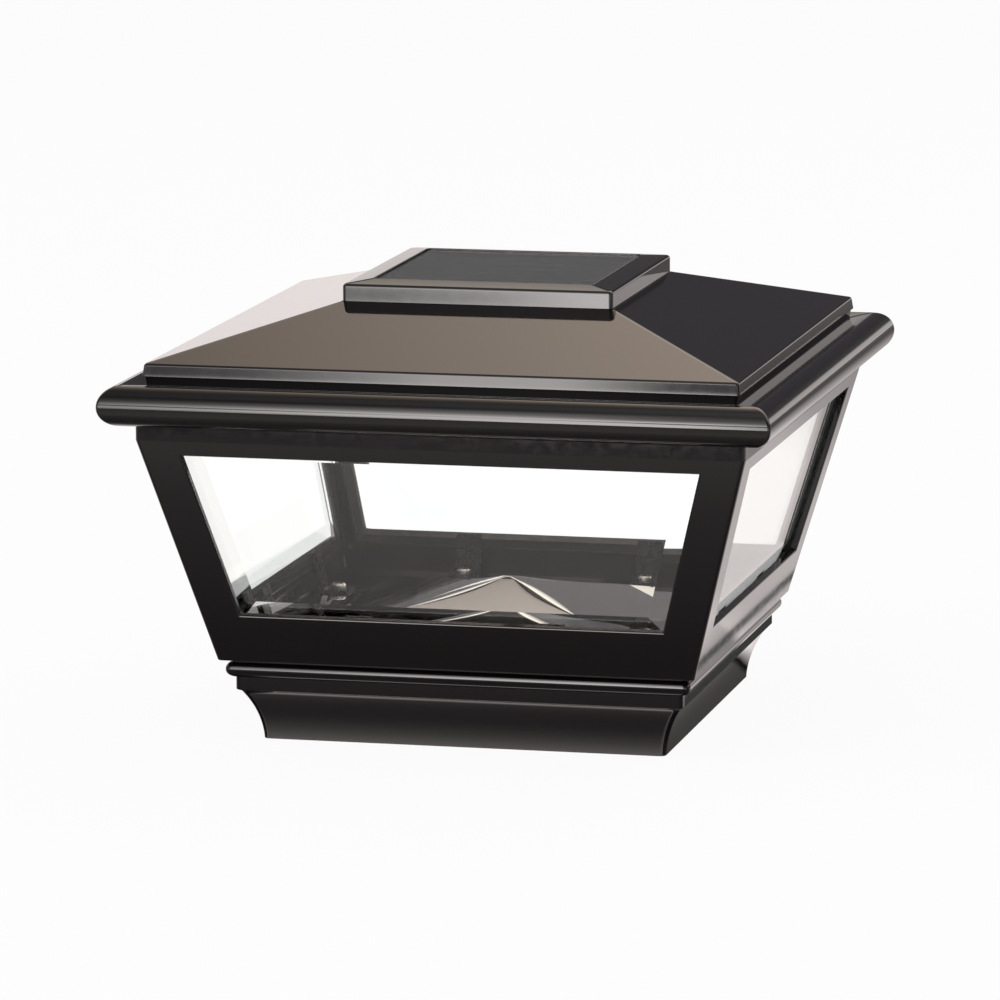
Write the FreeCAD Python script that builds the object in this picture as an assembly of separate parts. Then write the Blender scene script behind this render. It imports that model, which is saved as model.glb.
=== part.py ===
import FreeCAD, Part
import math
import os

from FreeCAD import Vector

# Solar post cap light, millimetres. Origin at the centre of the foot, +Z up, front at -Y.
# "Half" is half the width of a square form, measured from the centre line.

# Post and base skirt
post_width = 127.0
post_gap = 1.0
socket_depth = 24.5
deck_thickness = 3.5
foot_wall = 2.9
foot_bevel = 0.4
foot_land = 1.0
cove_rise = 15.9
cove_reach = 6.0
cove_hollow = 1.2
quirk_rise = 0.7
quirk_reach = 1.4
fascia_rise = 4.4
bead_rise = 5.0
bead_reach = 2.7
bead_crest_rise = 3.2
neck_reach = 1.1
skirt_wall = 3.2
guide_rib_width = 3.0
guide_rib_offset = 38.0
guide_rib_lead = 2.0

# Lantern frame
frame_overhang = 3.5
flare_rise = 75.3
flare_reach = 20.7
band_rise = 7.7
frame_wall = 2.5
frame_corner = 1.6
floor_thickness = 3.0
floor_hole_half = 30.0
floor_hole_corner = 6.0
flange_thickness = 2.5
flange_reach = 7.6
stile_width = 13.7
sill_rise = 16.0
head_drop = 4.8
ledge_depth = 4.6
ledge_thickness = 2.4

# Glass panes and their seals
glass_thickness = 5.0
glass_edge = 3.15
bevel_width = 12.0
glass_side_lap = 4.0
glass_foot_lap = 5.6
glass_head_gap = 0.2
seal_setback = 0.3
seal_width = 2.9

# Reflector and glass clips
reflector_sheet = 0.8
reflector_gap = 4.33
reflector_margin = 15.3
pyramid_rise = 13.6
pyramid_tip_half = 1.2
clip_offset = 32.0
clip_width = 9.0
clip_sheet = 1.0
clip_foot = 9.0
clip_hold = 4.4

# Roof casting
lid_gap = 0.4
eave_drop = 2.5
eave_lip = 3.1
bullnose_radius = 6.6
ledge_fall = 0.3
ledge_width = 5.1
roof_fascia_rise = 6.5
roof_fascia_lean = 1.0
roof_rise = 14.4
land_half = 45.7
roof_wall = 3.0
lead_hole_half = 14.0
roof_boss_radius = 4.0
roof_boss_inset = 14.5
roof_boss_thread = 9.5
roof_seal_thickness = 1.5
roof_seal_width = 4.5
roof_seal_setback = 0.4

# Solar bezel and panel
bezel_gap = 0.5
bezel_side = 5.75
bezel_round = 1.1
bezel_top_fall = 1.0
bezel_border = 8.3
pocket_floor = 3.0
pocket_hole_half = 6.0
panel_gap = 0.2
panel_recess = 0.5
panel_board = 1.6
cell_thickness = 0.3
cell_margin = 2.2
cell_gap = 0.6
cell_rows = 6
bezel_gasket_inset = 11.2
bezel_gasket_width = 2.5
bezel_gasket_thickness = 1.2
bezel_screw_inset = 4.2
bezel_screw_thread = 4.0

# Ceiling plate under the roof
ceiling_thickness = 2.0
ceiling_gap = 0.4
ceiling_rim_width = 1.6
ceiling_rim_rise = 3.0
lens_hole_radius = 15.0
lens_gap = 0.2
lens_wall = 1.6
lens_flange_reach = 2.2
lens_flange_thickness = 1.4
lens_drop = 7.0
lens_face_radius = 9.0

# Battery, bay and door
cell_radius = 9.3
cell_length = 64.0
cell_button_radius = 3.2
cell_button = 1.0
bay_centre = 42.0
bay_side_gap = 1.1
bay_end_gap = 2.4
bay_wall = 1.6
cell_clearance = 0.4
door_gap = 0.4
door_pin_radius = 1.0
door_pin_gap = 0.06
door_pin_length = 1.5
door_tongue_width = 12.0
door_tongue_rise = 1.8
door_tongue_thickness = 1.2
door_scoop_inset = 2.5
door_scoop_depth = 0.9
contact_sheet = 0.5
contact_width = 13.0
contact_height = 14.0
contact_tail_width = 3.0
contact_tail = 1.4
contact_slot_gap = 0.25
spring_root_radius = 5.0
dimple_root_radius = 3.0
cell_rim = 0.6

# Circuit board, lamps and switch
board_length = 60.0
board_width = 52.0
board_thickness = 1.6
board_standoff = 4.6
board_post_radius = 2.6
board_post_x = 26.0
board_post_y = 22.0
board_post_floor = 0.6
chip_x = -10.5
chip_y = -9.5
chip_size = 5.0
chip_rise = 1.6
coil_x = 4.0
coil_y = -12.0
coil_radius = 4.0
coil_rise = 4.0
coil_hole_radius = 1.6
coil_hole_depth = 1.6
capacitor_x = 15.5
capacitor_y = -8.0
capacitor_pitch = 5.0
capacitor_radius = 2.0
capacitor_rise = 5.4
capacitor_rim = 0.5
lead_socket_x = 18.0
lead_socket_y = 8.0
lamp_ring_radius = 7.0
lamp_count = 4
lamp_size = 3.6
lamp_rise = 1.9
lamp_base_rise = 1.2
lamp_window_radius = 1.5
switch_y = -21.5
switch_length = 9.0
switch_width = 4.2
switch_slot_length = 7.2
switch_slot_depth = 2.6
slider_length = 3.6
slider_width = 1.8
slider_drop = 2.2
slider_groove_offset = 0.7
slider_groove_width = 0.5
slider_groove_depth = 0.4
switch_gap = 0.25
switch_travel = 1.5

# Screws
screw_radius = 1.5
screw_hole_gap = 0.2
thread_gap = 0.05
screw_head_radius = 2.7
screw_head = 1.8
screw_head_bevel = 0.6
screw_end_gap = 0.3
frame_screw_offset = 36.0
frame_boss_radius = 4.5
frame_boss_gap = 0.77
frame_boss_cap = 0.9
csk_head_radius = 3.2
csk_head = 1.7
csk_gap = 0.1

# Wires
lead_radius = 0.7
lead_sides = 6
lead_pitch = 3.0
lead_hole_gap = 0.1
lead_drop = 2.0
lead_rise = 5.0
lead_bow = 6.0
lead_reach = 20.0
socket_size = 6.0
socket_rise = 4.0

# Worked out from the sizes above
socket_half = post_width / 2 + post_gap
foot_half = socket_half + foot_wall
deck_top = socket_depth + deck_thickness
fascia_half = foot_half + cove_reach + quirk_reach
neck_half = fascia_half + neck_reach

frame_foot_half = neck_half + frame_overhang
frame_foot = deck_top
flare = math.atan2(flare_reach, flare_rise)
flare_sin = math.sin(flare)
flare_cos = math.cos(flare)
band_half = frame_foot_half + flare_reach
frame_top = frame_foot + flare_rise + band_rise
floor_top = frame_foot + floor_thickness
flange_half = band_half - flange_reach
flange_under = frame_top - flange_thickness
sill_step = sill_rise / flare_cos
head_step = (flare_rise - head_drop) / flare_cos
glass_foot_step = sill_step - glass_foot_lap
glass_back = frame_wall + glass_thickness
glass_edge_face = glass_back - glass_edge
glass_head_step = (flange_under - glass_head_gap - frame_foot - glass_back * flare_sin) / flare_cos
side_lean = math.cos(math.atan(flare_sin))

floor_half = frame_foot_half + floor_thickness * flare_reach / flare_rise - frame_wall / flare_cos
reflector_half = floor_half - reflector_gap
pyramid_half = reflector_half - reflector_margin
flange_plate_top = floor_top + reflector_sheet
pyramid_peak = flange_plate_top + pyramid_rise
pyramid_pitch = pyramid_rise / (pyramid_half - pyramid_tip_half)
pyramid_drop = reflector_sheet * math.sqrt(1 + pyramid_pitch ** 2)
clip_foot_top = flange_plate_top + clip_sheet
frame_boss_reach = frame_screw_offset + frame_boss_radius
frame_boss_fall = (frame_boss_reach - pyramid_tip_half) * pyramid_pitch
frame_boss_top = pyramid_peak - pyramid_drop - frame_boss_fall - frame_boss_gap

lip_half = band_half + lid_gap
eave_foot = frame_top - eave_drop
bullnose_half = lip_half + eave_lip
bullnose_centre = eave_foot + bullnose_radius
ledge_top = bullnose_centre + bullnose_radius
fascia_foot_half = bullnose_half - ledge_width
fascia_foot = ledge_top - ledge_fall
fascia_top_half = fascia_foot_half - roof_fascia_lean
fascia_top = fascia_foot + roof_fascia_rise
land_top = fascia_top + roof_rise
seat_level = frame_top + roof_seal_thickness
roof_pitch = roof_rise / (fascia_top_half - land_half)
roof_drop = roof_wall * math.sqrt(1 + roof_pitch ** 2)
cavity_half = fascia_top_half - roof_wall
land_under = land_top - roof_wall
roof_boss_offset = cavity_half - roof_boss_inset

bezel_half = land_half - bezel_gap
pocket_half = bezel_half - bezel_border
bezel_gasket_half = bezel_half - bezel_gasket_inset
bezel_screw_offset = bezel_half - bezel_screw_inset
bezel_brow = land_top + bezel_side
bezel_top = bezel_brow + bezel_top_fall
pocket_level = land_top + pocket_floor
panel_half = pocket_half - panel_gap
panel_board_top = pocket_level + panel_board
cell_top = panel_board_top + cell_thickness
cover_top = bezel_top - panel_recess

ceiling_half = cavity_half - ceiling_gap
ceiling_top = seat_level + ceiling_thickness
board_under = ceiling_top + board_standoff
board_top = board_under + board_thickness
lead_socket_top = board_top + socket_rise

cell_level = ceiling_top + cell_clearance + cell_radius
bay_half_width = cell_radius + bay_side_gap
bay_half_length = cell_length / 2 + bay_end_gap
bay_inner_top = cell_level + cell_radius + cell_clearance
bay_front = bay_centre - bay_half_width
bay_rear = bay_centre + bay_half_width
contact_tail_end = bay_half_length + bay_wall + contact_tail
barrel_radius = ceiling_thickness + door_gap / 4
door_axis_y = bay_rear - door_gap - barrel_radius
door_axis_z = seat_level + barrel_radius

screw_clear = screw_radius + screw_hole_gap
screw_pilot = screw_radius + thread_gap


def outline(start, steps):
    """Closed section in half width and height; a step is a point, or an arc's middle and end."""
    edges = []
    here = start
    for step in list(steps) + [start]:
        end = step[-2:]
        first = Vector(0, -here[0], here[1])
        last = Vector(0, -end[0], end[1])
        if len(step) == 4:
            middle = Vector(0, -step[0], step[1])
            edges.append(Part.Arc(first, middle, last).toShape())
        elif (last - first).Length > 1e-6:
            edges.append(Part.LineSegment(first, last).toShape())
        here = end
    return Part.Face(Part.Wire(edges))


def mitred(section):
    """Four lengths of one section, mitred at the corners of a square."""
    box = section.BoundBox
    reach = max(abs(box.YMin), abs(box.YMax)) + 1.0
    bar = section.extrude(Vector(2 * reach, 0, 0))
    bar.translate(Vector(-reach, 0, 0))
    low = box.ZMin - 1.0
    corners = [Vector(0, 0, low), Vector(-reach, -reach, low), Vector(reach, -reach, low), Vector(0, 0, low)]
    wedge = Part.Face(Part.makePolygon(corners)).extrude(Vector(0, 0, box.ZLength + 2.0))
    side = bar.common(wedge)
    sides = [turned(side, 90 * k) for k in range(4)]
    return sides[0].fuse(sides[1:]).removeSplitter().Solids[0]


def turned(shape, degrees):
    """A copy turned about the centre line."""
    copy = shape.copy()
    copy.rotate(Vector(0, 0, 0), Vector(0, 0, 1), degrees)
    return copy


def block(x_low, x_high, y_low, y_high, z_low, z_high):
    """A box between two corners."""
    return Part.makeBox(x_high - x_low, y_high - y_low, z_high - z_low, Vector(x_low, y_low, z_low))


def square_plate(half, z_low, z_high):
    """A square plate about the centre line."""
    return block(-half, half, -half, half, z_low, z_high)


def rod(radius, x, y, z_low, z_high):
    """An upright cylinder."""
    return Part.makeCylinder(radius, z_high - z_low, Vector(x, y, z_low))


def cross_rod(radius, x_low, x_high, y, z):
    """A cylinder along X."""
    return Part.makeCylinder(radius, x_high - x_low, Vector(x_low, y, z), Vector(1, 0, 0))


def corners(offset):
    """The four corners of a square of screws."""
    return [(offset * sx, offset * sy) for sx in (-1, 1) for sy in (-1, 1)]


def mitre_edges(shape, z_low, z_high, half_low):
    """Edges that run along the mitre lines, outside a half width and between two heights."""
    found = []
    for edge in shape.Edges:
        first = edge.FirstParameter
        span = edge.LastParameter - first
        points = [edge.valueAt(first + span * share) for share in (0, 0.5, 1)]
        on_mitre = all(abs(abs(p.x) - abs(p.y)) < 1e-4 for p in points)
        in_reach = all(z_low < p.z < z_high and abs(p.x) > half_low for p in points)
        if on_mitre and in_reach:
            found.append(edge)
    return found


def wall_section(step, depth):
    """Half width and height of a point up the flared wall and in from its outer face."""
    half = frame_foot_half + step * flare_sin - depth * flare_cos
    return (half, frame_foot + step * flare_cos + depth * flare_sin)


def wall_point(x, step, depth):
    """A point of the front wall, across, up its flare and in from its outer face."""
    half, height = wall_section(step, depth)
    return Vector(x, -half, height)


def wall_outline(foot_step, head_step_, side_setback, depth):
    """A four-sided outline parallel to the front wall, narrower than the wall at each side."""
    points = []
    for side, step in ((-1, foot_step), (1, foot_step), (1, head_step_), (-1, head_step_)):
        half = frame_foot_half + step * flare_sin - side_setback
        points.append(wall_point(side * half, step, depth))
    return Part.makePolygon(points + points[:1])


def pane_outline(inset, depth):
    """The pane's outline, drawn in by one distance at all four edges."""
    setback = stile_width - glass_side_lap + inset / side_lean
    return wall_outline(glass_foot_step + inset, glass_head_step - inset, setback, depth)


def pan_screw(x, y, head_seat, tip):
    """A pan head screw whose head stands above its seat, or hangs below where the tip is higher."""
    length = abs(head_seat - tip)
    shank = rod(screw_radius, 0, 0, -length, 0)
    head = rod(screw_head_radius, 0, 0, 0, screw_head)
    rim = [e for e in head.Edges if e.BoundBox.ZMin > screw_head - 1e-4]
    screw = head.makeChamfer(screw_head_bevel, rim).fuse(shank).removeSplitter()
    if tip > head_seat:
        screw.rotate(Vector(0, 0, 0), Vector(1, 0, 0), 180)
    screw.translate(Vector(x, y, head_seat))
    return screw


def wire(points):
    """A wire along straight runs joined by arcs as large as the runs allow."""
    points = [Vector(*p) for p in points]
    edges = []
    here = points[0]
    for before, corner, after in zip(points, points[1:], points[2:]):
        back = (before - corner).normalize()
        ahead = (after - corner).normalize()
        cut = 0.45 * min((before - corner).Length, (after - corner).Length)
        start = corner + back * cut
        end = corner + ahead * cut
        turn = math.pi - back.getAngle(ahead)
        radius = cut / math.tan(turn / 2)
        to_centre = (back + ahead).normalize()
        centre = corner + to_centre * (radius / math.cos(turn / 2))
        middle = centre - to_centre * radius
        edges.append(Part.LineSegment(here, start).toShape())
        edges.append(Part.Arc(start, middle, end).toShape())
        here = end
    edges.append(Part.LineSegment(here, points[-1]).toShape())
    path = Part.Wire(edges)
    circle = Part.makeCircle(lead_radius, points[0], points[1] - points[0])
    rim = [circle.valueAt(2 * math.pi * k / lead_sides) for k in range(lead_sides)]
    return path.makePipeShell([Part.makePolygon(rim + rim[:1])], True, False)


def base_skirt():
    """Cast skirt: cove, fascia and bead outside, an open socket for the post inside."""
    cove_foot = foot_land
    cove_top = cove_foot + cove_rise
    cove_half = foot_half + cove_reach
    middle_half = foot_half + cove_reach / 2 - cove_hollow
    fascia_low = cove_top + quirk_rise
    bead_low = fascia_low + fascia_rise
    bead_top = bead_low + bead_rise
    inner_half = fascia_half - skirt_wall - neck_reach
    outside = outline((0, 0), [
        (foot_half - foot_bevel, 0),
        (foot_half, foot_bevel),
        (foot_half, cove_foot),
        (middle_half, cove_foot + cove_rise / 2, cove_half, cove_top),
        (fascia_half, fascia_low),
        (fascia_half, bead_low),
        (fascia_half + bead_reach, bead_low + bead_crest_rise, neck_half, bead_top),
        (neck_half, deck_top),
        (0, deck_top),
    ])
    inside = outline((0, 0), [
        (socket_half, 0),
        (socket_half, cove_top - cove_rise / 2),
        (inner_half, cove_top),
        (inner_half, socket_depth),
        (0, socket_depth),
    ])
    skirt = mitred(outside).cut(mitred(inside))
    parts = []
    rib_half = guide_rib_width / 2
    for side in range(4):
        for offset in (-guide_rib_offset, guide_rib_offset):
            foot = Vector(offset - rib_half, -socket_half, guide_rib_lead)
            rib = [
                foot,
                Vector(foot.x, -inner_half - 1, cove_top),
                Vector(foot.x, -inner_half - 1, deck_top),
                Vector(foot.x, -socket_half, deck_top),
            ]
            face = Part.Face(Part.makePolygon(rib + rib[:1]))
            parts.append(turned(face.extrude(Vector(guide_rib_width, 0, 0)), 90 * side))
    skirt = skirt.fuse(parts).removeSplitter()
    for x, y in corners(frame_screw_offset):
        skirt = skirt.cut(rod(screw_clear, x, y, socket_depth - 1, deck_top + 1))
        head = Part.makeCone(csk_head_radius, screw_clear, csk_head, Vector(x, y, socket_depth))
        skirt = skirt.cut(head)
    return skirt


def lantern_frame():
    """Flared casting with four windows, a floor, a ledge for the glass and a top flange."""
    section = outline((frame_foot_half, frame_foot), [
        (band_half, frame_foot + flare_rise),
        (band_half, frame_top),
        (flange_half, frame_top),
        (flange_half, flange_under),
        (wall_half(flange_under), flange_under),
        (wall_half(floor_top), floor_top),
        (floor_hole_half, floor_top),
        (floor_hole_half, frame_foot),
    ])
    frame = mitred(section)
    edges = mitre_edges(frame, frame_foot - 1, frame_top + 1, frame_foot_half - 0.1)
    frame = frame.makeFillet(frame_corner, edges)
    frame = frame.makeFillet(floor_hole_corner, mitre_vertical(frame, floor_hole_half))
    deep = frame_wall + ledge_depth
    ledge = outline(wall_section(glass_foot_step, frame_wall - 0.5), [
        wall_section(glass_foot_step, deep),
        wall_section(glass_foot_step - ledge_thickness, deep),
        wall_section(glass_foot_step - ledge_thickness - 1, frame_wall - 0.5),
    ])
    parts = [mitred(ledge)]
    for x, y in corners(frame_screw_offset):
        parts.append(rod(frame_boss_radius, x, y, frame_foot, frame_boss_top))
    frame = frame.fuse(parts).removeSplitter()
    outside = wall_outline(sill_step, head_step, stile_width, -1)
    inside = wall_outline(sill_step, head_step, stile_width, frame_wall + 0.6)
    window = Part.makeLoft([outside, inside], True, True)
    frame = frame.cut([turned(window, 90 * side) for side in range(4)])
    holes = []
    for x, y in corners(frame_screw_offset):
        holes.append(rod(screw_pilot, x, y, frame_foot - 1, frame_boss_top - frame_boss_cap))
    for x, y in clip_screw_places():
        holes.append(rod(screw_pilot, x, y, frame_foot - 1, floor_top + 1))
    return frame.cut(holes)


def wall_half(height):
    """Half width of the flared wall's inner face at a height."""
    return frame_foot_half + (height - frame_foot) * flare_reach / flare_rise - frame_wall / flare_cos


def mitre_vertical(shape, half):
    """The four upright edges at the corners of a square hole."""
    found = []
    for edge in shape.Edges:
        box = edge.BoundBox
        upright = box.XLength < 1e-4 and box.YLength < 1e-4
        if upright and abs(abs(box.XMin) - half) < 1e-3 and abs(abs(box.YMin) - half) < 1e-3:
            found.append(edge)
    return found


def frame_screws():
    """Countersunk screws up through the deck into the frame's bosses."""
    screws = []
    tip = frame_boss_top - frame_boss_cap - screw_end_gap
    for x, y in corners(frame_screw_offset):
        head = Part.makeCone(csk_head_radius - csk_gap, screw_radius, csk_head, Vector(x, y, socket_depth))
        shank = rod(screw_radius, x, y, socket_depth + csk_head, tip)
        screws.append(head.fuse(shank).removeSplitter())
    return Part.makeCompound(screws)


def glass_pane():
    """Front pane: flat inside, with a wide bevel round its outer face."""
    back = pane_outline(0, glass_back)
    edge = pane_outline(0, glass_edge_face)
    face = pane_outline(bevel_width, frame_wall)
    return Part.makeLoft([back, edge, face], True, True)


def glazing_seals():
    """Wedge strips that fill the space between the frame's wall and the bevels."""
    pane = glass_pane()
    outer = Part.makeLoft([pane_outline(seal_setback, d) for d in (frame_wall, glass_edge_face)], True, True)
    hole_inset = seal_setback + seal_width
    hole = Part.makeLoft([pane_outline(hole_inset, d) for d in (frame_wall - 1, glass_back)], True, True)
    seal = outer.cut([hole, pane])
    return Part.makeCompound([turned(seal, 90 * side) for side in range(4)])


def clip_screw_seat():
    """How far out from the centre the clip screws stand."""
    return wall_half(clip_foot_top) - glass_thickness / flare_cos - clip_sheet - clip_foot / 2


def clip_screw_places():
    """Two screws for each pane."""
    places = []
    seat = clip_screw_seat()
    for offset in (-clip_offset, clip_offset):
        places += [(offset, -seat), (seat, offset), (-offset, seat), (-seat, -offset)]
    return places


def glass_clips():
    """Bent sheet clips: a foot on the reflector's flange, an upright against the glass."""
    rise = glass_foot_step + clip_hold
    top_back = wall_section(rise, glass_back)
    top_front = wall_section(rise, glass_back + clip_sheet)
    heel_half = wall_half(flange_plate_top) - glass_thickness / flare_cos
    bend_half = wall_half(clip_foot_top) - (glass_thickness + clip_sheet) / flare_cos
    toe_half = bend_half - clip_foot
    section = outline((heel_half, flange_plate_top), [
        top_back,
        top_front,
        (bend_half, clip_foot_top),
        (toe_half, clip_foot_top),
        (toe_half, flange_plate_top),
    ])
    clip = section.extrude(Vector(clip_width, 0, 0))
    clip.translate(Vector(-clip_width / 2, 0, 0))
    clip = clip.cut(rod(screw_clear, 0, -clip_screw_seat(), flange_plate_top - 1, clip_foot_top + 1))
    clips = []
    for side in range(4):
        for offset in (-clip_offset, clip_offset):
            copy = clip.copy()
            copy.translate(Vector(offset, 0, 0))
            clips.append(turned(copy, 90 * side))
    return Part.makeCompound(clips)


def clip_screws():
    """Pan head screws through the clips and the reflector into the floor."""
    tip = frame_foot + screw_end_gap
    return Part.makeCompound([pan_screw(x, y, clip_foot_top, tip) for x, y in clip_screw_places()])


def reflector_pyramid():
    """Pressed and polished sheet: a low four-sided pyramid with a flat flange."""
    section = outline((reflector_half, floor_top), [
        (reflector_half, flange_plate_top),
        (pyramid_half, flange_plate_top),
        (pyramid_tip_half, pyramid_peak),
        (0, pyramid_peak),
        (0, pyramid_peak - pyramid_drop),
        (pyramid_tip_half, pyramid_peak - pyramid_drop),
        (pyramid_half - (pyramid_drop - reflector_sheet) / pyramid_pitch, floor_top),
    ])
    sheet = mitred(section)
    return sheet.cut([rod(screw_clear, x, y, frame_foot, pyramid_peak) for x, y in clip_screw_places()])


def roof_half(height):
    """Half width of the hip slope's inner face at a height."""
    return fascia_top_half - (height + roof_drop - fascia_top) / roof_pitch


def roof_casting():
    """Hip roof with a bullnose eave, hollow underneath, with bosses for the ceiling screws."""
    cavity_corner = fascia_top - roof_drop + (fascia_top_half - cavity_half) * roof_pitch
    section = outline((lip_half, eave_foot), [
        (bullnose_half, eave_foot),
        (bullnose_half + bullnose_radius, bullnose_centre, bullnose_half, ledge_top),
        (fascia_foot_half, fascia_foot),
        (fascia_top_half, fascia_top),
        (land_half, land_top),
        (lead_hole_half, land_top),
        (lead_hole_half, land_under),
        (roof_half(land_under), land_under),
        (cavity_half, cavity_corner),
        (cavity_half, seat_level),
        (lip_half, seat_level),
    ])
    roof = mitred(section)
    slope_top = fascia_top + (fascia_top_half - roof_boss_offset - roof_boss_radius) * roof_pitch
    boss_top = slope_top - roof_wall / 6
    bosses = [rod(roof_boss_radius, x, y, ceiling_top, boss_top) for x, y in corners(roof_boss_offset)]
    roof = roof.fuse(bosses).removeSplitter()
    holes = []
    for x, y in corners(roof_boss_offset):
        holes.append(rod(screw_pilot, x, y, ceiling_top - 1, ceiling_top + roof_boss_thread + screw_end_gap))
    for x, y in corners(bezel_screw_offset):
        holes.append(rod(screw_clear, x, y, land_under - 1, land_top + 1))
    return roof.cut(holes)


def roof_seal():
    """Foam strip stuck under the roof, resting on the frame's top flange."""
    outer = lip_half - roof_seal_setback
    section = outline((outer, frame_top), [
        (outer, seat_level),
        (outer - roof_seal_width, seat_level),
        (outer - roof_seal_width, frame_top),
    ])
    return mitred(section)


def solar_bezel():
    """Moulded square frame with a pocket for the panel and a low chamfer round it."""
    gasket_out = bezel_gasket_half + bezel_gasket_width
    gasket_top = land_top + bezel_gasket_thickness
    section = outline((bezel_half, land_top), [
        (bezel_half, bezel_brow),
        (pocket_half, bezel_top),
        (pocket_half, pocket_level),
        (pocket_hole_half, pocket_level),
        (pocket_hole_half, land_top),
        (bezel_gasket_half, land_top),
        (bezel_gasket_half, gasket_top),
        (gasket_out, gasket_top),
        (gasket_out, land_top),
    ])
    bezel = mitred(section)
    uprights = mitre_edges(bezel, land_top - 1, bezel_brow + 0.1, bezel_half - 0.1)
    brow = [e for e in bezel.Edges if e.BoundBox.ZLength < 1e-4 and abs(e.BoundBox.ZMin - bezel_brow) < 1e-3]
    bezel = bezel.makeFillet(bezel_round, uprights + brow)
    holes = []
    for x, y in corners(bezel_screw_offset):
        holes.append(rod(screw_pilot, x, y, land_top - 1, land_top + bezel_screw_thread + screw_end_gap))
    return bezel.cut(holes)


def bezel_gasket():
    """Rubber strip in the groove under the bezel."""
    section = outline((bezel_gasket_half, land_top), [
        (bezel_gasket_half + bezel_gasket_width, land_top),
        (bezel_gasket_half + bezel_gasket_width, land_top + bezel_gasket_thickness),
        (bezel_gasket_half, land_top + bezel_gasket_thickness),
    ])
    return mitred(section)


def bezel_screws():
    """Screws up through the roof's land into the bezel's corners."""
    tip = land_top + bezel_screw_thread
    return Part.makeCompound([pan_screw(x, y, land_under, tip) for x, y in corners(bezel_screw_offset)])


def solar_board():
    """Backing board of the panel, with its two solder holes."""
    board = square_plate(panel_half, pocket_level, panel_board_top)
    radius = lead_radius + lead_hole_gap
    return board.cut([rod(radius, x, 0, pocket_level - 1, panel_board_top + 1) for x in lead_offsets()])


def lead_offsets():
    """The pair of wires, side by side."""
    return (-lead_pitch / 2, lead_pitch / 2)


def solar_cells():
    """Rows of silicon cells side by side on the board."""
    inner = panel_half - cell_margin
    pitch = (2 * inner + cell_gap) / cell_rows
    cells = []
    for row in range(cell_rows):
        low = -inner + row * pitch
        cells.append(block(-inner, inner, low, low + pitch - cell_gap, panel_board_top, cell_top))
    return Part.makeCompound(cells)


def solar_cover():
    """Clear face cast over the cells."""
    cover = square_plate(panel_half, panel_board_top, cover_top)
    rim = [e for e in cover.Edges if e.BoundBox.ZMin > cover_top - 1e-4]
    cover = cover.makeChamfer(panel_recess / 2, rim)
    return cover.cut(solar_cells())


def light_lens():
    """Moulded cup that hangs through the ceiling on a flange, tapered down to a flat face."""
    outer = lens_hole_radius - lens_gap
    flange_radius = lens_hole_radius + lens_flange_reach
    flange_top = ceiling_top + lens_flange_thickness
    down = Vector(0, 0, -1)
    seat = Vector(0, 0, seat_level)
    body = Part.makeCone(outer, lens_face_radius, lens_drop, seat, down)
    body = body.fuse(rod(outer, 0, 0, seat_level, flange_top))
    body = body.fuse(rod(flange_radius, 0, 0, ceiling_top, flange_top)).removeSplitter()
    inner = outer - lens_wall
    hollow = Part.makeCone(inner, lens_face_radius - lens_wall, lens_drop - lens_wall, seat, down)
    hollow = hollow.fuse(rod(inner, 0, 0, seat_level, flange_top + 1))
    return body.cut(hollow)


def board_posts():
    """Where the circuit board's posts stand."""
    return [(board_post_x * sx, board_post_y * sy) for sx in (-1, 1) for sy in (-1, 1)]


def ceiling_plate():
    """Moulded plate with a stiffening rim, a lens hole, board posts and the battery bay."""
    plate = square_plate(ceiling_half, seat_level, ceiling_top)
    rim_top = ceiling_top + ceiling_rim_rise
    rim = square_plate(ceiling_half, ceiling_top, rim_top)
    rim = rim.cut(square_plate(ceiling_half - ceiling_rim_width, ceiling_top - 1, rim_top + 1))
    bay_length = bay_half_length + bay_wall
    bay_top = bay_inner_top + bay_wall
    bay = block(-bay_length, bay_length, bay_front - bay_wall, bay_rear + bay_wall, ceiling_top, bay_top)
    posts = [rod(board_post_radius, x, y, ceiling_top, board_under) for x, y in board_posts()]
    plate = plate.fuse([rim, bay] + posts).removeSplitter()
    hollow = block(-bay_half_length, bay_half_length, bay_front, bay_rear, seat_level - 1, bay_inner_top)
    slot_half = switch_travel + slider_length / 2 + door_gap
    slot_side = slider_width / 2 + door_gap
    cuts = [hollow, rod(lens_hole_radius, 0, 0, seat_level - 1, ceiling_top + 1)]
    slot_low = switch_y - slot_side
    slot_high = switch_y + slot_side
    cuts.append(block(-slot_half, slot_half, slot_low, slot_high, seat_level - 1, ceiling_top + 1))
    hinge_end = bay_length + 1
    hinge_radius = door_pin_radius + door_pin_gap
    cuts.append(cross_rod(hinge_radius, -hinge_end, hinge_end, door_axis_y, door_axis_z))
    for x, y in corners(roof_boss_offset):
        cuts.append(rod(screw_clear, x, y, seat_level - 1, ceiling_top + 1))
    for x, y in board_posts():
        cuts.append(rod(screw_pilot, x, y, ceiling_top + board_post_floor, board_under + 1))
    tail = contact_tail_width / 2 + contact_slot_gap
    tail_half = contact_sheet / 2 + contact_slot_gap
    for side in (-1, 1):
        low, high = sorted((side * (bay_half_length - 1), side * (bay_length + 1)))
        slot_top = cell_level + tail_half
        cuts.append(block(low, high, bay_centre - tail, bay_centre + tail, cell_level - tail_half, slot_top))
    return plate.cut(cuts)


def ceiling_screws():
    """Screws up through the ceiling's corners into the roof's bosses."""
    tip = ceiling_top + roof_boss_thread
    return Part.makeCompound([pan_screw(x, y, seat_level, tip) for x, y in corners(roof_boss_offset)])


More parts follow.
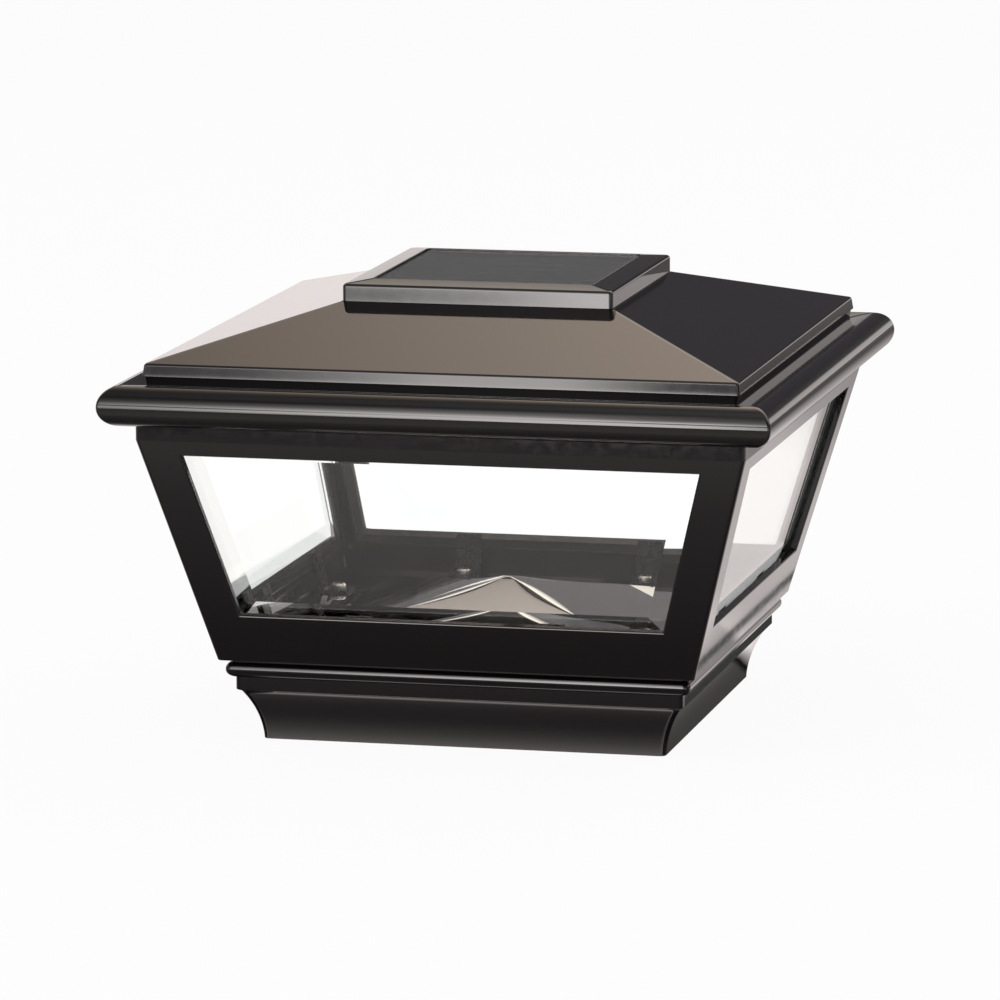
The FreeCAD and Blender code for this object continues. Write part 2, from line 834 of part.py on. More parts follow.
def battery_cell():
    """Round rechargeable cell, button end at +X."""
    can = cross_rod(cell_radius, -cell_length / 2, cell_length / 2, bay_centre, cell_level)
    rims = [e for e in can.Edges if e.BoundBox.XLength < 1e-4]
    can = can.makeChamfer(cell_rim, rims)
    end = cell_length / 2
    button = cross_rod(cell_button_radius, end, end + cell_button, bay_centre, cell_level)
    return can.fuse(button).removeSplitter()


def battery_contacts():
    """A coned contact at the flat end and a dimpled one at the button, each with a solder tail."""
    contacts = []
    ends = ((-1, bay_end_gap, spring_root_radius), (1, bay_end_gap - cell_button, dimple_root_radius))
    for side, reach, root in ends:
        inner = bay_half_length - contact_sheet
        low, high = sorted((side * inner, side * bay_half_length))
        half_width = contact_width / 2
        half_height = contact_height / 2
        plate = block(low, high, bay_centre - half_width, bay_centre + half_width,
                      cell_level - half_height, cell_level + half_height)
        nose = Part.makeCone(root, root * 0.5, reach - contact_sheet,
                             Vector(side * inner, bay_centre, cell_level), Vector(-side, 0, 0))
        low, high = sorted((side * bay_half_length, side * contact_tail_end))
        half = contact_tail_width / 2
        thin = contact_sheet / 2
        tail = block(low, high, bay_centre - half, bay_centre + half, cell_level - thin, cell_level + thin)
        contacts.append(plate.fuse([nose, tail]).removeSplitter())
    return Part.makeCompound(contacts)


def battery_door():
    """Flat door under the battery, with a hinge barrel, pins, a tongue and a finger scoop."""
    length = bay_half_length - door_gap
    free_edge = bay_front + door_gap
    plate = block(-length, length, free_edge, door_axis_y, seat_level, ceiling_top)
    barrel = cross_rod(barrel_radius, -length, length, door_axis_y, door_axis_z)
    pin_end = bay_half_length + door_pin_length
    pin = cross_rod(door_pin_radius, -pin_end, pin_end, door_axis_y, door_axis_z)
    half = door_tongue_width / 2
    tongue_low = free_edge + door_gap
    tongue = block(-half, half, tongue_low, tongue_low + door_tongue_thickness,
                   ceiling_top, ceiling_top + door_tongue_rise)
    door = plate.fuse([barrel, pin, tongue]).removeSplitter()
    scoop_radius = door_tongue_width / 2
    scoop_level = seat_level - scoop_radius + door_scoop_depth
    return door.cut(Part.makeSphere(scoop_radius, Vector(0, free_edge + door_scoop_inset, scoop_level)))


def circuit_board():
    """Charge and lamp board over the lens."""
    half_length = board_length / 2
    half_width = board_width / 2
    board = block(-half_length, half_length, -half_width, half_width, board_under, board_top)
    return board.cut([rod(screw_clear, x, y, board_under - 1, board_top + 1) for x, y in board_posts()])


def board_screws():
    """Screws down through the board into its posts."""
    tip = ceiling_top + board_post_floor + screw_end_gap
    return Part.makeCompound([pan_screw(x, y, board_top, tip) for x, y in board_posts()])


def lead_socket_places():
    """Sockets for the solar wires and for each battery wire."""
    return {
        "solar": (0, lead_socket_y),
        "left": (-lead_socket_x, lead_socket_y),
        "right": (lead_socket_x, lead_socket_y),
    }


def board_parts():
    """Charge chip, coil, two capacitors and the wire sockets on the board."""
    half = chip_size / 2
    chip_top = board_top + chip_rise
    parts = [block(chip_x - half, chip_x + half, chip_y - half, chip_y + half, board_top, chip_top)]
    coil_top = board_top + coil_rise
    coil = rod(coil_radius, coil_x, coil_y, board_top, coil_top)
    parts.append(coil.cut(rod(coil_hole_radius, coil_x, coil_y, coil_top - coil_hole_depth, coil_top + 1)))
    can_top = board_top + capacitor_rise
    for side in (-1, 1):
        x = capacitor_x + side * capacitor_pitch / 2
        can = rod(capacitor_radius, x, capacitor_y, board_top, can_top)
        rim = [e for e in can.Edges if e.BoundBox.ZMin > can_top - 1e-4]
        parts.append(can.makeChamfer(capacitor_rim, rim))
    half = socket_size / 2
    for x, y in lead_socket_places().values():
        parts.append(block(x - half, x + half, y - half, y + half, board_top, lead_socket_top))
    return Part.makeCompound(parts)


def led_lamps():
    """Lamps round the middle of the board, facing down."""
    lamps = []
    half = lamp_size / 2
    for k in range(lamp_count):
        turn = 2 * math.pi * (k + 0.5) / lamp_count
        x = lamp_ring_radius * math.cos(turn)
        y = lamp_ring_radius * math.sin(turn)
        base = block(x - half, x + half, y - half, y + half, board_under - lamp_base_rise, board_under)
        window = rod(lamp_window_radius, x, y, board_under - lamp_rise, board_under - lamp_base_rise)
        lamps.append(base.fuse(window).removeSplitter())
    return Part.makeCompound(lamps)


def switch_body():
    """Slide switch under the board, open below for its slider."""
    half = switch_length / 2
    side = switch_width / 2
    low = ceiling_top + door_gap
    body = block(-half, half, switch_y - side, switch_y + side, low, board_under)
    slot = switch_slot_length / 2
    slot_side = slider_width / 2 + switch_gap
    slot_top = low + switch_slot_depth
    return body.cut(block(-slot, slot, switch_y - slot_side, switch_y + slot_side, low - 1, slot_top))


def switch_slider():
    """Slider that stands down through the ceiling, with three finger ridges."""
    half = slider_length / 2
    side = slider_width / 2
    foot = seat_level - slider_drop
    top = ceiling_top + door_gap + switch_slot_depth - switch_gap
    slider = block(-half, half, switch_y - side, switch_y + side, foot, top)
    grooves = []
    groove_top = foot + slider_groove_depth
    for turn in (-1, 1):
        low = turn * slider_groove_offset - slider_groove_width / 2
        high = low + slider_groove_width
        grooves.append(block(low, high, switch_y - side - 1, switch_y + side + 1, foot - 1, groove_top))
    return slider.cut(grooves)


def solar_leads():
    """Two wires from the panel down through the roof to their socket."""
    x, y = lead_socket_places()["solar"]
    leads = []
    for offset in lead_offsets():
        leads.append(wire([
            (offset, 0, panel_board_top),
            (offset, 0, land_under - lead_drop),
            (x + offset, y, lead_socket_top + lead_rise),
            (x + offset, y, lead_socket_top),
        ]))
    return Part.makeCompound(leads)


def battery_leads():
    """One wire from each contact's tail to its socket."""
    leads = []
    for side, name in ((-1, "left"), (1, "right")):
        x, y = lead_socket_places()[name]
        bow = side * (contact_tail_end + lead_bow)
        leads.append(wire([
            (side * contact_tail_end, bay_centre, cell_level),
            (bow, bay_centre, cell_level),
            (bow, bay_centre - lead_reach, cell_level + lead_rise),
            (x, y, lead_socket_top + lead_bow),
            (x, y, lead_socket_top),
        ]))
    return Part.makeCompound(leads)


def build():
    """Every piece under its name."""
    pane = glass_pane()
    return {
        "base_skirt": base_skirt(),
        "lantern_frame": lantern_frame(),
        "frame_screws": frame_screws(),
        "glass_front": pane,
        "glass_right": turned(pane, 90),
        "glass_rear": turned(pane, 180),
        "glass_left": turned(pane, 270),
        "glazing_seals": glazing_seals(),
        "reflector_pyramid": reflector_pyramid(),
        "glass_clips": glass_clips(),
        "clip_screws": clip_screws(),
        "roof_casting": roof_casting(),
        "roof_seal": roof_seal(),
        "solar_bezel": solar_bezel(),
        "bezel_gasket": bezel_gasket(),
        "bezel_screws": bezel_screws(),
        "solar_board": solar_board(),
        "solar_cells": solar_cells(),
        "solar_cover": solar_cover(),
        "ceiling_plate": ceiling_plate(),
        "ceiling_screws": ceiling_screws(),
        "light_lens": light_lens(),
        "led_lamps": led_lamps(),
        "circuit_board": circuit_board(),
        "board_parts": board_parts(),
        "board_screws": board_screws(),
        "battery_cell": battery_cell(),
        "battery_contacts": battery_contacts(),
        "battery_door": battery_door(),
        "switch_body": switch_body(),
        "switch_slider": switch_slider(),
        "solar_leads": solar_leads(),
        "battery_leads": battery_leads(),
    }


os.makedirs("parts", exist_ok=True)
for name, shape in build().items():
    shape.exportStep("parts/" + name + ".step")
    state = "valid" if shape.isValid() else "INVALID"
    print(name, len(shape.Solids), round(shape.Volume / 1000, 2), "cm3", state)
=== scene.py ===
import math

import bmesh
import bpy
from mathutils import Matrix, Vector


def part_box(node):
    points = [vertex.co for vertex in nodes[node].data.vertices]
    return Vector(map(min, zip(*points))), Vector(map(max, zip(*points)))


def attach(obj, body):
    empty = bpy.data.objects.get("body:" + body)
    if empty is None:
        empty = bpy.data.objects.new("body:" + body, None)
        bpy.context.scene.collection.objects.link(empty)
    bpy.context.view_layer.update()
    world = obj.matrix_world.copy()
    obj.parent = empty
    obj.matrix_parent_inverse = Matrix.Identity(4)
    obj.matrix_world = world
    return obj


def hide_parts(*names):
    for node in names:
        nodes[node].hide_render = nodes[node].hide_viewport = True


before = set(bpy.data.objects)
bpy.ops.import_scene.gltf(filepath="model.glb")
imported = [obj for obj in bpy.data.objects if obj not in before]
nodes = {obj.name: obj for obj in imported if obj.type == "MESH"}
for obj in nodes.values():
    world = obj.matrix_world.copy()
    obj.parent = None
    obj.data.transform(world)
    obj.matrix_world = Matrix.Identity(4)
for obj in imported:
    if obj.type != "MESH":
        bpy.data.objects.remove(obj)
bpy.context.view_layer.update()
MM = 0.001


# ---------------------------------------------------------------------------
# Studio: a pale table that runs out to white, soft lamps for the room's light,
# a bright card in front and a bright ceiling behind for the gloss to show.
# ---------------------------------------------------------------------------

# The camera: its place in millimetres, its turn in degrees, its lens in millimetres,
# and the nearest thing that it sees in metres.
CAMERA_PLACE = (510.32, -2134.73, 455.39)
CAMERA_YAW = 13.53
CAMERA_PITCH = 9.95
CAMERA_ROLL = 0.26
CAMERA_LENS = 240.57
SENSOR_WIDTH = 36.0
CAMERA_NEAR = 0.05

# Half a bounce, the limit between a ray that has had none and one that has had one.
HALF_BOUNCE = 0.5

# The table, and how much of its colour is replaced by plain white for the camera. Its
# distances, and all others on the stage but the camera's, are in metres.
TABLE_HALF = 4.0
TABLE_DROP = 0.0002
TABLE_COLOUR = (0.80, 0.80, 0.80)
TABLE_GLOW_SHARE = 0.94
GLASS_LOSS = 0.18

# The table as the gloss shows it, with painted shade and painted light: by the distance from the object's
# foot close by, by the distance in front (-) or behind (+) further off, and one value inside the lantern.
TABLE_TINT = (1.0, 0.92, 0.91)
TABLE_FOOT_HALF = 0.0674
INNER_SHINE = 1.0
BESIDE_SHARE = 0.1
IN_FRONT_MORE = 1.5
FAR_FROM = [(0.0, 0.0), (0.012, 0.0), (0.032, 1.0), (0.04, 1.0)]
NEAR_SHINE = [
    (0.0, 1.3), (0.003, 1.1), (0.0055, 0.7), (0.0075, 0.4), (0.009, 0.16), (0.014, 0.10),
    (0.04, 0.10),
]
FAR_SHINE = [
    (-0.80, 0.3), (-0.50, 0.5), (-0.225, 0.6), (-0.190, 0.35), (-0.12, 0.13), (-0.07, 0.15),
    (0.0, 1.4), (0.06, 1.4), (0.14, 0.95), (0.25, 0.95), (0.36, 0.95), (0.44, 0.7), (0.80, 0.26),
    (1.20, 0.17), (1.60, 0.25),
]

# The lit card in front: its brightness upwards and across, and three shaded bands,
# each a share taken off by height and by place across.
CARD_TINT = (1.0, 0.96, 0.95)
CARD_PLACE = -0.75
CARD_LEFT = -1.3
CARD_RIGHT = 0.9
CARD_HEAD = 1.3
CARD_UPRIGHT = [
    (0.0, 0.0), (0.0105, 0.35), (0.0175, 8.5), (0.025, 9.5), (0.10, 9.5), (0.29, 9.0), (0.365, 6.3),
    (0.437, 4.8), (0.52, 2.9), (0.88, 1.05), (1.30, 0.3),
]
CARD_ACROSS = [
    (-1.3, 0.2), (-0.36, 0.3), (-0.27, 0.65), (-0.20, 0.98), (-0.10, 1.12), (-0.045, 1.12),
    (0.02, 0.18), (0.9, 0.18),
]
CARD_LOW_BAND = [(0.0, 0.0), (0.030, 0.0), (0.036, 1.0), (0.056, 1.0), (0.062, 0.0), (1.3, 0.0)]
CARD_LOW_SHADE = [(-1.3, 0.62), (-0.21, 0.60), (-0.165, 0.40), (-0.125, 0.0), (0.9, 0.0)]
CARD_EAVE_BAND = [(0.0, 0.0), (0.190, 0.0), (0.200, 1.0), (0.245, 1.0), (0.255, 0.0), (1.3, 0.0)]
CARD_EAVE_SHADE = [
    (-1.3, 0.85), (-0.30, 0.85), (-0.25, 0.80), (-0.20, 0.50), (-0.165, 0.22), (-0.11, 0.22),
    (-0.085, 0.55), (-0.06, 0.90), (0.9, 0.90),
]
CARD_FADED_HIGH = [(0.0, 0.0), (0.29, 0.0), (0.42, 1.0), (1.3, 1.0)]
CARD_FADED_RIGHT = [(-1.3, 0.0), (-0.135, 0.12), (-0.085, 0.5), (0.9, 0.5)]

# A low dark strip at the right of the foot, seen only in the gloss: painted shade for the skirt's right
# side to show.
SHADE_PLACE = 0.0885
SHADE_FRONT = -0.06
SHADE_REAR = 0.40
SHADE_HEAD = 0.0085
SHADE_SHINE = 0.10

# The room: its daylight on matt surfaces, and what the gloss shows of it by the height
# of the direction, behind and ahead, with a ceiling that is brighter to the right.
ROOM_DAYLIGHT = 0.55
ROOM_BEHIND = [
    (0.03, (0.90, 0.83, 0.81)), (0.075, (0.85, 0.79, 0.77)), (0.110, (0.12, 0.12, 0.12)),
    (0.20, (0.070, 0.065, 0.070)), (0.31, (0.070, 0.064, 0.075)), (0.36, (0.55, 0.49, 0.43)),
    (0.41, (1.0, 0.92, 0.83)), (0.60, (0.80, 0.66, 0.55)), (0.72, (0.80, 0.66, 0.55)),
    (0.97, (0.16, 0.15, 0.14)),
]
ROOM_AHEAD = [(0.0, (0.05, 0.05, 0.05)), (0.6, (0.12, 0.12, 0.12)), (0.97, (0.25, 0.25, 0.25))]
BEHIND_FROM = [(-0.15, 0.0), (0.15, 1.0)]
ROOM_SHINE = 1.3
CEILING_SHINE = [(-0.30, 0.85), (-0.17, 2.9)]
CEILING_FROM = [(0.0, 0.0), (0.46, 0.0), (0.60, 1.0), (1.0, 1.0)]

# Soft lamps: name, place, the point aimed at, width, height and power.
LAMPS = [
    ("key_lamp", (-0.7, -0.9, 1.5), (0.0, 0.0, 0.08), 1.4, 1.4, 11.0),
    ("rear_lamp", (0.6, 1.1, 1.3), (0.0, 0.0, 0.08), 1.2, 1.0, 6.0),
    ("window_fill", (0.0, 0.0, 0.055), (0.0, 0.0, 0.2), 0.11, 0.11, 0.052),
]


def make_camera():
    """The photograph's own view, solved from the object's corners."""
    yaw = math.radians(CAMERA_YAW)
    pitch = math.radians(CAMERA_PITCH)
    roll = math.radians(CAMERA_ROLL)
    ahead = Vector((-math.sin(yaw) * math.cos(pitch), math.cos(yaw) * math.cos(pitch), -math.sin(pitch)))
    level = Vector((math.cos(yaw), math.sin(yaw), 0.0))
    down = ahead.cross(level)
    right = level * math.cos(roll) + down * math.sin(roll)
    down = down * math.cos(roll) - level * math.sin(roll)
    data = bpy.data.cameras.new("camera")
    data.lens = CAMERA_LENS
    data.sensor_width = SENSOR_WIDTH
    data.sensor_fit = "HORIZONTAL"
    data.clip_start = CAMERA_NEAR
    camera = bpy.data.objects.new("camera", data)
    camera.matrix_world = Matrix((right, -down, -ahead)).transposed().to_4x4()
    camera.location = Vector(CAMERA_PLACE) * MM
    bpy.context.scene.collection.objects.link(camera)
    bpy.context.scene.camera = camera


def new_material(name):
    """A material with its tree emptied, its tree and its output."""
    material = bpy.data.materials.new(name)
    material.use_nodes = True
    tree = material.node_tree
    tree.nodes.clear()
    return material, tree, tree.nodes.new("ShaderNodeOutputMaterial")


def ramp(tree, source, stops):
    """A colour ramp over a value, from (place, colour) stops."""
    node = tree.nodes.new("ShaderNodeValToRGB")
    elements = node.color_ramp.elements
    elements[0].position = stops[0][0]
    elements[1].position = stops[-1][0]
    elements[0].color = (*stops[0][1], 1)
    elements[1].color = (*stops[-1][1], 1)
    for place, colour in stops[1:-1]:
        elements.new(place).color = (*colour, 1)
    tree.links.new(source, node.inputs["Fac"])
    return node.outputs["Color"]


def graph(tree, source, stops):
    """A plain curve over a value, held at its first and last stops beyond them."""
    low = stops[0][0]
    high = stops[-1][0]
    peak = max(value for place, value in stops)
    spread_out = tree.nodes.new("ShaderNodeMapRange")
    spread_out.inputs["From Min"].default_value = low
    spread_out.inputs["From Max"].default_value = high
    tree.links.new(source, spread_out.inputs["Value"])
    shades = [((place - low) / (high - low), (value / peak,) * 3) for place, value in stops]
    return maths(tree, "MULTIPLY", ramp(tree, spread_out.outputs["Result"], shades), peak)


def maths(tree, operation, first, second=0.0):
    """One sum. Each term is a socket or a number."""
    node = tree.nodes.new("ShaderNodeMath")
    node.operation = operation
    for socket, term in zip(node.inputs, (first, second)):
        if isinstance(term, (int, float)):
            socket.default_value = term
        else:
            tree.links.new(term, socket)
    return node.outputs[0]


def coordinates(tree, kind):
    """The sockets X, Y and Z of a point or a direction."""
    place = tree.nodes.new("ShaderNodeTexCoord")
    parts = tree.nodes.new("ShaderNodeSeparateXYZ")
    tree.links.new(place.outputs[kind], parts.inputs[0])
    return parts.outputs


def glow(tree, strength, colour=(1.0, 1.0, 1.0)):
    """Light given off, of a strength worked out by the tree."""
    node = tree.nodes.new("ShaderNodeEmission")
    node.inputs["Color"].default_value = (*colour, 1)
    if isinstance(strength, (int, float)):
        node.inputs["Strength"].default_value = strength
    else:
        tree.links.new(strength, node.inputs["Strength"])
    return node.outputs[0]


def blend(tree, share, first, second):
    """Two shaders mixed by a share."""
    node = tree.nodes.new("ShaderNodeMixShader")
    tree.links.new(share, node.inputs[0])
    tree.links.new(first, node.inputs[1])
    tree.links.new(second, node.inputs[2])
    return node.outputs[0]


def colour_mix(tree, share, first, second):
    """Two colours mixed by a share. Each is a socket or a colour."""
    node = tree.nodes.new("ShaderNodeMix")
    node.data_type = "RGBA"
    tree.links.new(share, node.inputs[0])
    for socket, term in zip((node.inputs[6], node.inputs[7]), (first, second)):
        if isinstance(term, tuple):
            socket.default_value = (*term, 1)
        else:
            tree.links.new(term, socket)
    return node.outputs[2]


def stage_plane(name, corners, material):
    """A flat stage piece, which isn't part of the object."""
    mesh = bpy.data.meshes.new(name)
    mesh.from_pydata(corners, [], [(0, 1, 2, 3)])
    mesh.materials.append(material)
    plane = bpy.data.objects.new(name, mesh)
    bpy.context.scene.collection.objects.link(plane)
    return plane


def table_material():
    """Pale sheet, white to the camera and through glass, with the object's shadow left in it.

    The gloss shows it with painted shade beside the foot, a painted bright strip in front of it and
    painted light and shade further off, and from below it is clear."""
    material, tree, output = new_material("pale_table")
    sheet = tree.nodes.new("ShaderNodeBsdfDiffuse")
    sheet.inputs["Color"].default_value = (*TABLE_COLOUR, 1)
    path = tree.nodes.new("ShaderNodeLightPath").outputs
    seen = maths(tree, "MAXIMUM", path["Is Camera Ray"], path["Is Transmission Ray"])
    share = maths(tree, "MULTIPLY", seen, TABLE_GLOW_SHARE)
    through = maths(tree, "MULTIPLY", path["Is Transmission Ray"], GLASS_LOSS)
    white = blend(tree, share, sheet.outputs[0], glow(tree, maths(tree, "ADD", through, 1.0)))
    point = coordinates(tree, "Object")
    wide = maths(tree, "ABSOLUTE", point["X"])
    deep = maths(tree, "ABSOLUTE", point["Y"])
    # Painted shade beside the foot and a painted bright strip in front of it, shown only in the gloss.
    from_foot = maths(tree, "SUBTRACT", maths(tree, "MAXIMUM", wide, deep), TABLE_FOOT_HALF)
    reach = graph(tree, from_foot, FAR_FROM)
    in_front = maths(tree, "GREATER_THAN", maths(tree, "MULTIPLY", point["Y"], -1.0), wide)
    in_front = maths(tree, "ADD", maths(tree, "MULTIPLY", in_front, IN_FRONT_MORE), BESIDE_SHARE)
    near = maths(tree, "MULTIPLY", graph(tree, from_foot, NEAR_SHINE), in_front)
    near = maths(tree, "MULTIPLY", near, maths(tree, "SUBTRACT", 1.0, reach))
    # Painted light and shade further off, by the distance in front or behind, shown only in the gloss.
    far = maths(tree, "MULTIPLY", graph(tree, point["Y"], FAR_SHINE), reach)
    outside = maths(tree, "LESS_THAN", path["Transmission Depth"], HALF_BOUNCE)
    inside = maths(tree, "SUBTRACT", 1.0, outside)
    shine = maths(tree, "MULTIPLY", maths(tree, "ADD", near, far), outside)
    shine = maths(tree, "ADD", shine, maths(tree, "MULTIPLY", inside, INNER_SHINE))
    mirrored = maths(tree, "GREATER_THAN", path["Glossy Depth"], HALF_BOUNCE)
    mirrored = maths(tree, "MULTIPLY", mirrored, maths(tree, "SUBTRACT", 1.0, path["Is Diffuse Ray"]))
    lit = blend(tree, mirrored, white, glow(tree, shine, TABLE_TINT))
    face = tree.nodes.new("ShaderNodeNewGeometry")
    under = maths(tree, "MULTIPLY", face.outputs["Backfacing"], path["Is Camera Ray"])
    clear = tree.nodes.new("ShaderNodeBsdfTransparent")
    tree.links.new(blend(tree, under, lit, clear.outputs[0]), output.inputs["Surface"])
    return material


def card_material():
    """Lit card: brightest along its foot, fading upwards and to its left."""
    material, tree, output = new_material("lit_card")
    point = coordinates(tree, "Object")
    upright = graph(tree, point["Z"], CARD_UPRIGHT)
    strength = maths(tree, "MULTIPLY", upright, graph(tree, point["X"], CARD_ACROSS))
    bands = [
        (CARD_LOW_BAND, CARD_LOW_SHADE), (CARD_EAVE_BAND, CARD_EAVE_SHADE),
        (CARD_FADED_HIGH, CARD_FADED_RIGHT),
    ]
    for heights, places in bands:
        shade = maths(tree, "MULTIPLY", graph(tree, point["Z"], heights), graph(tree, point["X"], places))
        strength = maths(tree, "MULTIPLY", strength, maths(tree, "SUBTRACT", 1.0, shade))
    tree.links.new(glow(tree, strength, CARD_TINT), output.inputs["Surface"])
    return material


def shade_material():
    """Dark strip beside the foot: painted shade, which the skirt's right side shows in its gloss."""
    material, tree, output = new_material("low_shade")
    tree.links.new(glow(tree, SHADE_SHINE), output.inputs["Surface"])
    return material


def daylight(tree, strength, colour=(1.0, 1.0, 1.0)):
    """Light from all round. Its strength and colour are sockets or plain values."""
    node = tree.nodes.new("ShaderNodeBackground")
    if isinstance(strength, float):
        node.inputs["Strength"].default_value = strength
        node.inputs["Color"].default_value = (*colour, 1)
    else:
        tree.links.new(strength, node.inputs["Strength"])
        tree.links.new(colour, node.inputs["Color"])
    return node.outputs[0]


def make_world():
    """Even daylight on matt surfaces. The gloss shows white low down behind and warm high up."""
    world = bpy.data.worlds.new("room")
    bpy.context.scene.world = world
    world.use_nodes = True
    tree = world.node_tree
    tree.nodes.clear()
    output = tree.nodes.new("ShaderNodeOutputWorld")
    heading = coordinates(tree, "Generated")
    behind = ramp(tree, heading["Z"], ROOM_BEHIND)
    ahead = ramp(tree, heading["Z"], ROOM_AHEAD)
    shown = colour_mix(tree, graph(tree, heading["Y"], BEHIND_FROM), ahead, behind)
    level = graph(tree, heading["Z"], CEILING_FROM)
    rise = maths(tree, "MULTIPLY", graph(tree, heading["X"], CEILING_SHINE), level)
    rise = maths(tree, "ADD", rise, ROOM_SHINE)
    rise = maths(tree, "SUBTRACT", rise, maths(tree, "MULTIPLY", level, ROOM_SHINE))
    path = tree.nodes.new("ShaderNodeLightPath").outputs
    mirrored = maths(tree, "GREATER_THAN", path["Glossy Depth"], HALF_BOUNCE)
    inner = blend(tree, mirrored, daylight(tree, 1.0), daylight(tree, rise, shown))
    outer = blend(tree, path["Is Diffuse Ray"], inner, daylight(tree, ROOM_DAYLIGHT))
    tree.links.new(outer, output.inputs["Surface"])


def make_lamp(name, place, aim, width, height, power):
    """A soft lamp that lights matt surfaces and leaves no mark in the gloss."""
    data = bpy.data.lights.new(name, "AREA")
    data.shape = "RECTANGLE"
    data.size = width
    data.size_y = height
    data.energy = power
    lamp = bpy.data.objects.new(name, data)
    lamp.location = place
    lamp.rotation_euler = (Vector(aim) - Vector(place)).to_track_quat("-Z", "Y").to_euler()
    lamp.visible_camera = False
    lamp.visible_glossy = False
    lamp.visible_transmission = False
    bpy.context.scene.collection.objects.link(lamp)


bpy.context.scene.view_settings.view_transform = "Standard"
make_camera()
make_world()
stage_plane("table", [
    (-TABLE_HALF, -TABLE_HALF, -TABLE_DROP), (TABLE_HALF, -TABLE_HALF, -TABLE_DROP),
    (TABLE_HALF, TABLE_HALF, -TABLE_DROP), (-TABLE_HALF, TABLE_HALF, -TABLE_DROP),
], table_material())
card = stage_plane("front_card", [
    (CARD_LEFT, CARD_PLACE, 0.0), (CARD_RIGHT, CARD_PLACE, 0.0),
    (CARD_RIGHT, CARD_PLACE, CARD_HEAD), (CARD_LEFT, CARD_PLACE, CARD_HEAD),
], card_material())
low_shade = stage_plane("low_shade", [
    (SHADE_PLACE, SHADE_FRONT, 0.0), (SHADE_PLACE, SHADE_REAR, 0.0),
    (SHADE_PLACE, SHADE_REAR, SHADE_HEAD), (SHADE_PLACE, SHADE_FRONT, SHADE_HEAD),
], shade_material())
for sheet in (card, low_shade):
    sheet.visible_camera = False
    sheet.visible_diffuse = False
    sheet.visible_transmission = False
    sheet.visible_shadow = False
for lamp in LAMPS:
    make_lamp(*lamp)


# ---------------------------------------------------------------------------
# Base skirt: die-cast aluminium under black gloss powder coat, open below for
# the post, with a cove, a fascia and a bead, and ribs inside to grip the post.
# ---------------------------------------------------------------------------
FOOT_HALF = 67.4
FOOT_EDGE = [(-0.4, 0.0), (-0.1, 0.12), (0.0, 0.42)]
SOCKET_HALF = 64.5
SKIRT_INNER_HALF = 70.5
SOCKET_DEPTH = 24.5
DECK_TOP = 28.0
COVE_FOOT = 1.0
COVE_TOP = 16.9
COVE_REACH = 6.0
COVE_HOLLOW = 1.2
FASCIA_HALF = 74.8
FASCIA_LOW = 17.6
BEAD_LOW = 22.0
BEAD_CREST = 25.2
BEAD_REACH = 2.7
BEAD_TOP = 27.0
NECK_HALF = 75.9
SKIRT_CORNER = 2.2
RIB_OFFSET = 38.0
RIB_WIDTH = 3.0
RIB_LEAD = 2.0
RIB_SINK = 1.0
DECK_SCREW_OFFSET = 36.0
DECK_HOLE_RADIUS = 1.7
SINK_RADIUS = 3.2
SINK_DEPTH = 1.7
CUT_PAST = 1.0
CUT_SPARE = 0.01
EDGE_ROUND = 0.35
CURVE_STEPS = 16
ROUND_SHARE = 0.45
CORNER_SHARE = 0.9
SAME_POINT = 1e-7
BROAD_FACE_WEIGHT = 90
NOISE_MIDDLE = (0.35, 0.65)
COAT_COLOUR = (0.0058, 0.0046, 0.0046)
COAT_IOR = 1.52
COAT_SHINE = (0.05, 0.075)
COAT_GRAIN = 330.0
CASTING_PEEL = 0.0000008


def arc(start, middle, end, count):
    """Points along the arc through three points, the first one left out."""
    (ax, ay), (bx, by), (cx, cy) = start, middle, end
    twice = 2 * (ax * (by - cy) + bx * (cy - ay) + cx * (ay - by))
    squares = [ax * ax + ay * ay, bx * bx + by * by, cx * cx + cy * cy]
    x = (squares[0] * (by - cy) + squares[1] * (cy - ay) + squares[2] * (ay - by)) / twice
    y = (squares[0] * (cx - bx) + squares[1] * (ax - cx) + squares[2] * (bx - ax)) / twice
    radius = math.hypot(ax - x, ay - y)
    first = math.atan2(ay - y, ax - x)
    sweep = (math.atan2(cy - y, cx - x) - first) % math.tau
    through = (math.atan2(by - y, bx - x) - first) % math.tau
    if through > sweep:
        sweep -= math.tau
    turns = [first + sweep * k / count for k in range(1, count + 1)]
    return [(x + radius * math.cos(turn), y + radius * math.sin(turn)) for turn in turns]


def rounded(points, count=3):
    """A section whose corners are rounded. A point's third value is its radius."""
    result = []
    total = len(points)
    for k, point in enumerate(points):
        corner = Vector(point[:2])
        back = Vector(points[k - 1][:2]) - corner
        ahead = Vector(points[(k + 1) % total][:2]) - corner
        if len(point) == 2:
            result.append(tuple(corner))
            continue
        half_angle = back.angle(ahead) / 2
        most = ROUND_SHARE * min(back.length, ahead.length)
        cut = min(point[2] / math.tan(half_angle), most)
        radius = cut * math.tan(half_angle)
        start = corner + back.normalized() * cut
        end = corner + ahead.normalized() * cut
        towards = (back.normalized() + ahead.normalized()).normalized()
        middle = corner + towards * (math.hypot(cut, radius) - radius)
        result.append(tuple(start))
        result += arc(tuple(start), tuple(middle), tuple(end), count)
    return result


def square_loop(half, corner, count):
    """Plan of a rounded square, the same number of points whatever its size."""
    corner = min(corner, half * CORNER_SHARE)
    points = []
    for quarter in range(4):
        start = quarter * math.pi / 2
        middle = start + math.pi / 4
        centre_x = math.copysign(half - corner, math.cos(middle))
        centre_y = math.copysign(half - corner, math.sin(middle))
        for k in range(count + 1):
            turn = start + math.pi / 2 * k / count
            points.append((centre_x + corner * math.cos(turn), centre_y + corner * math.sin(turn)))
    return points


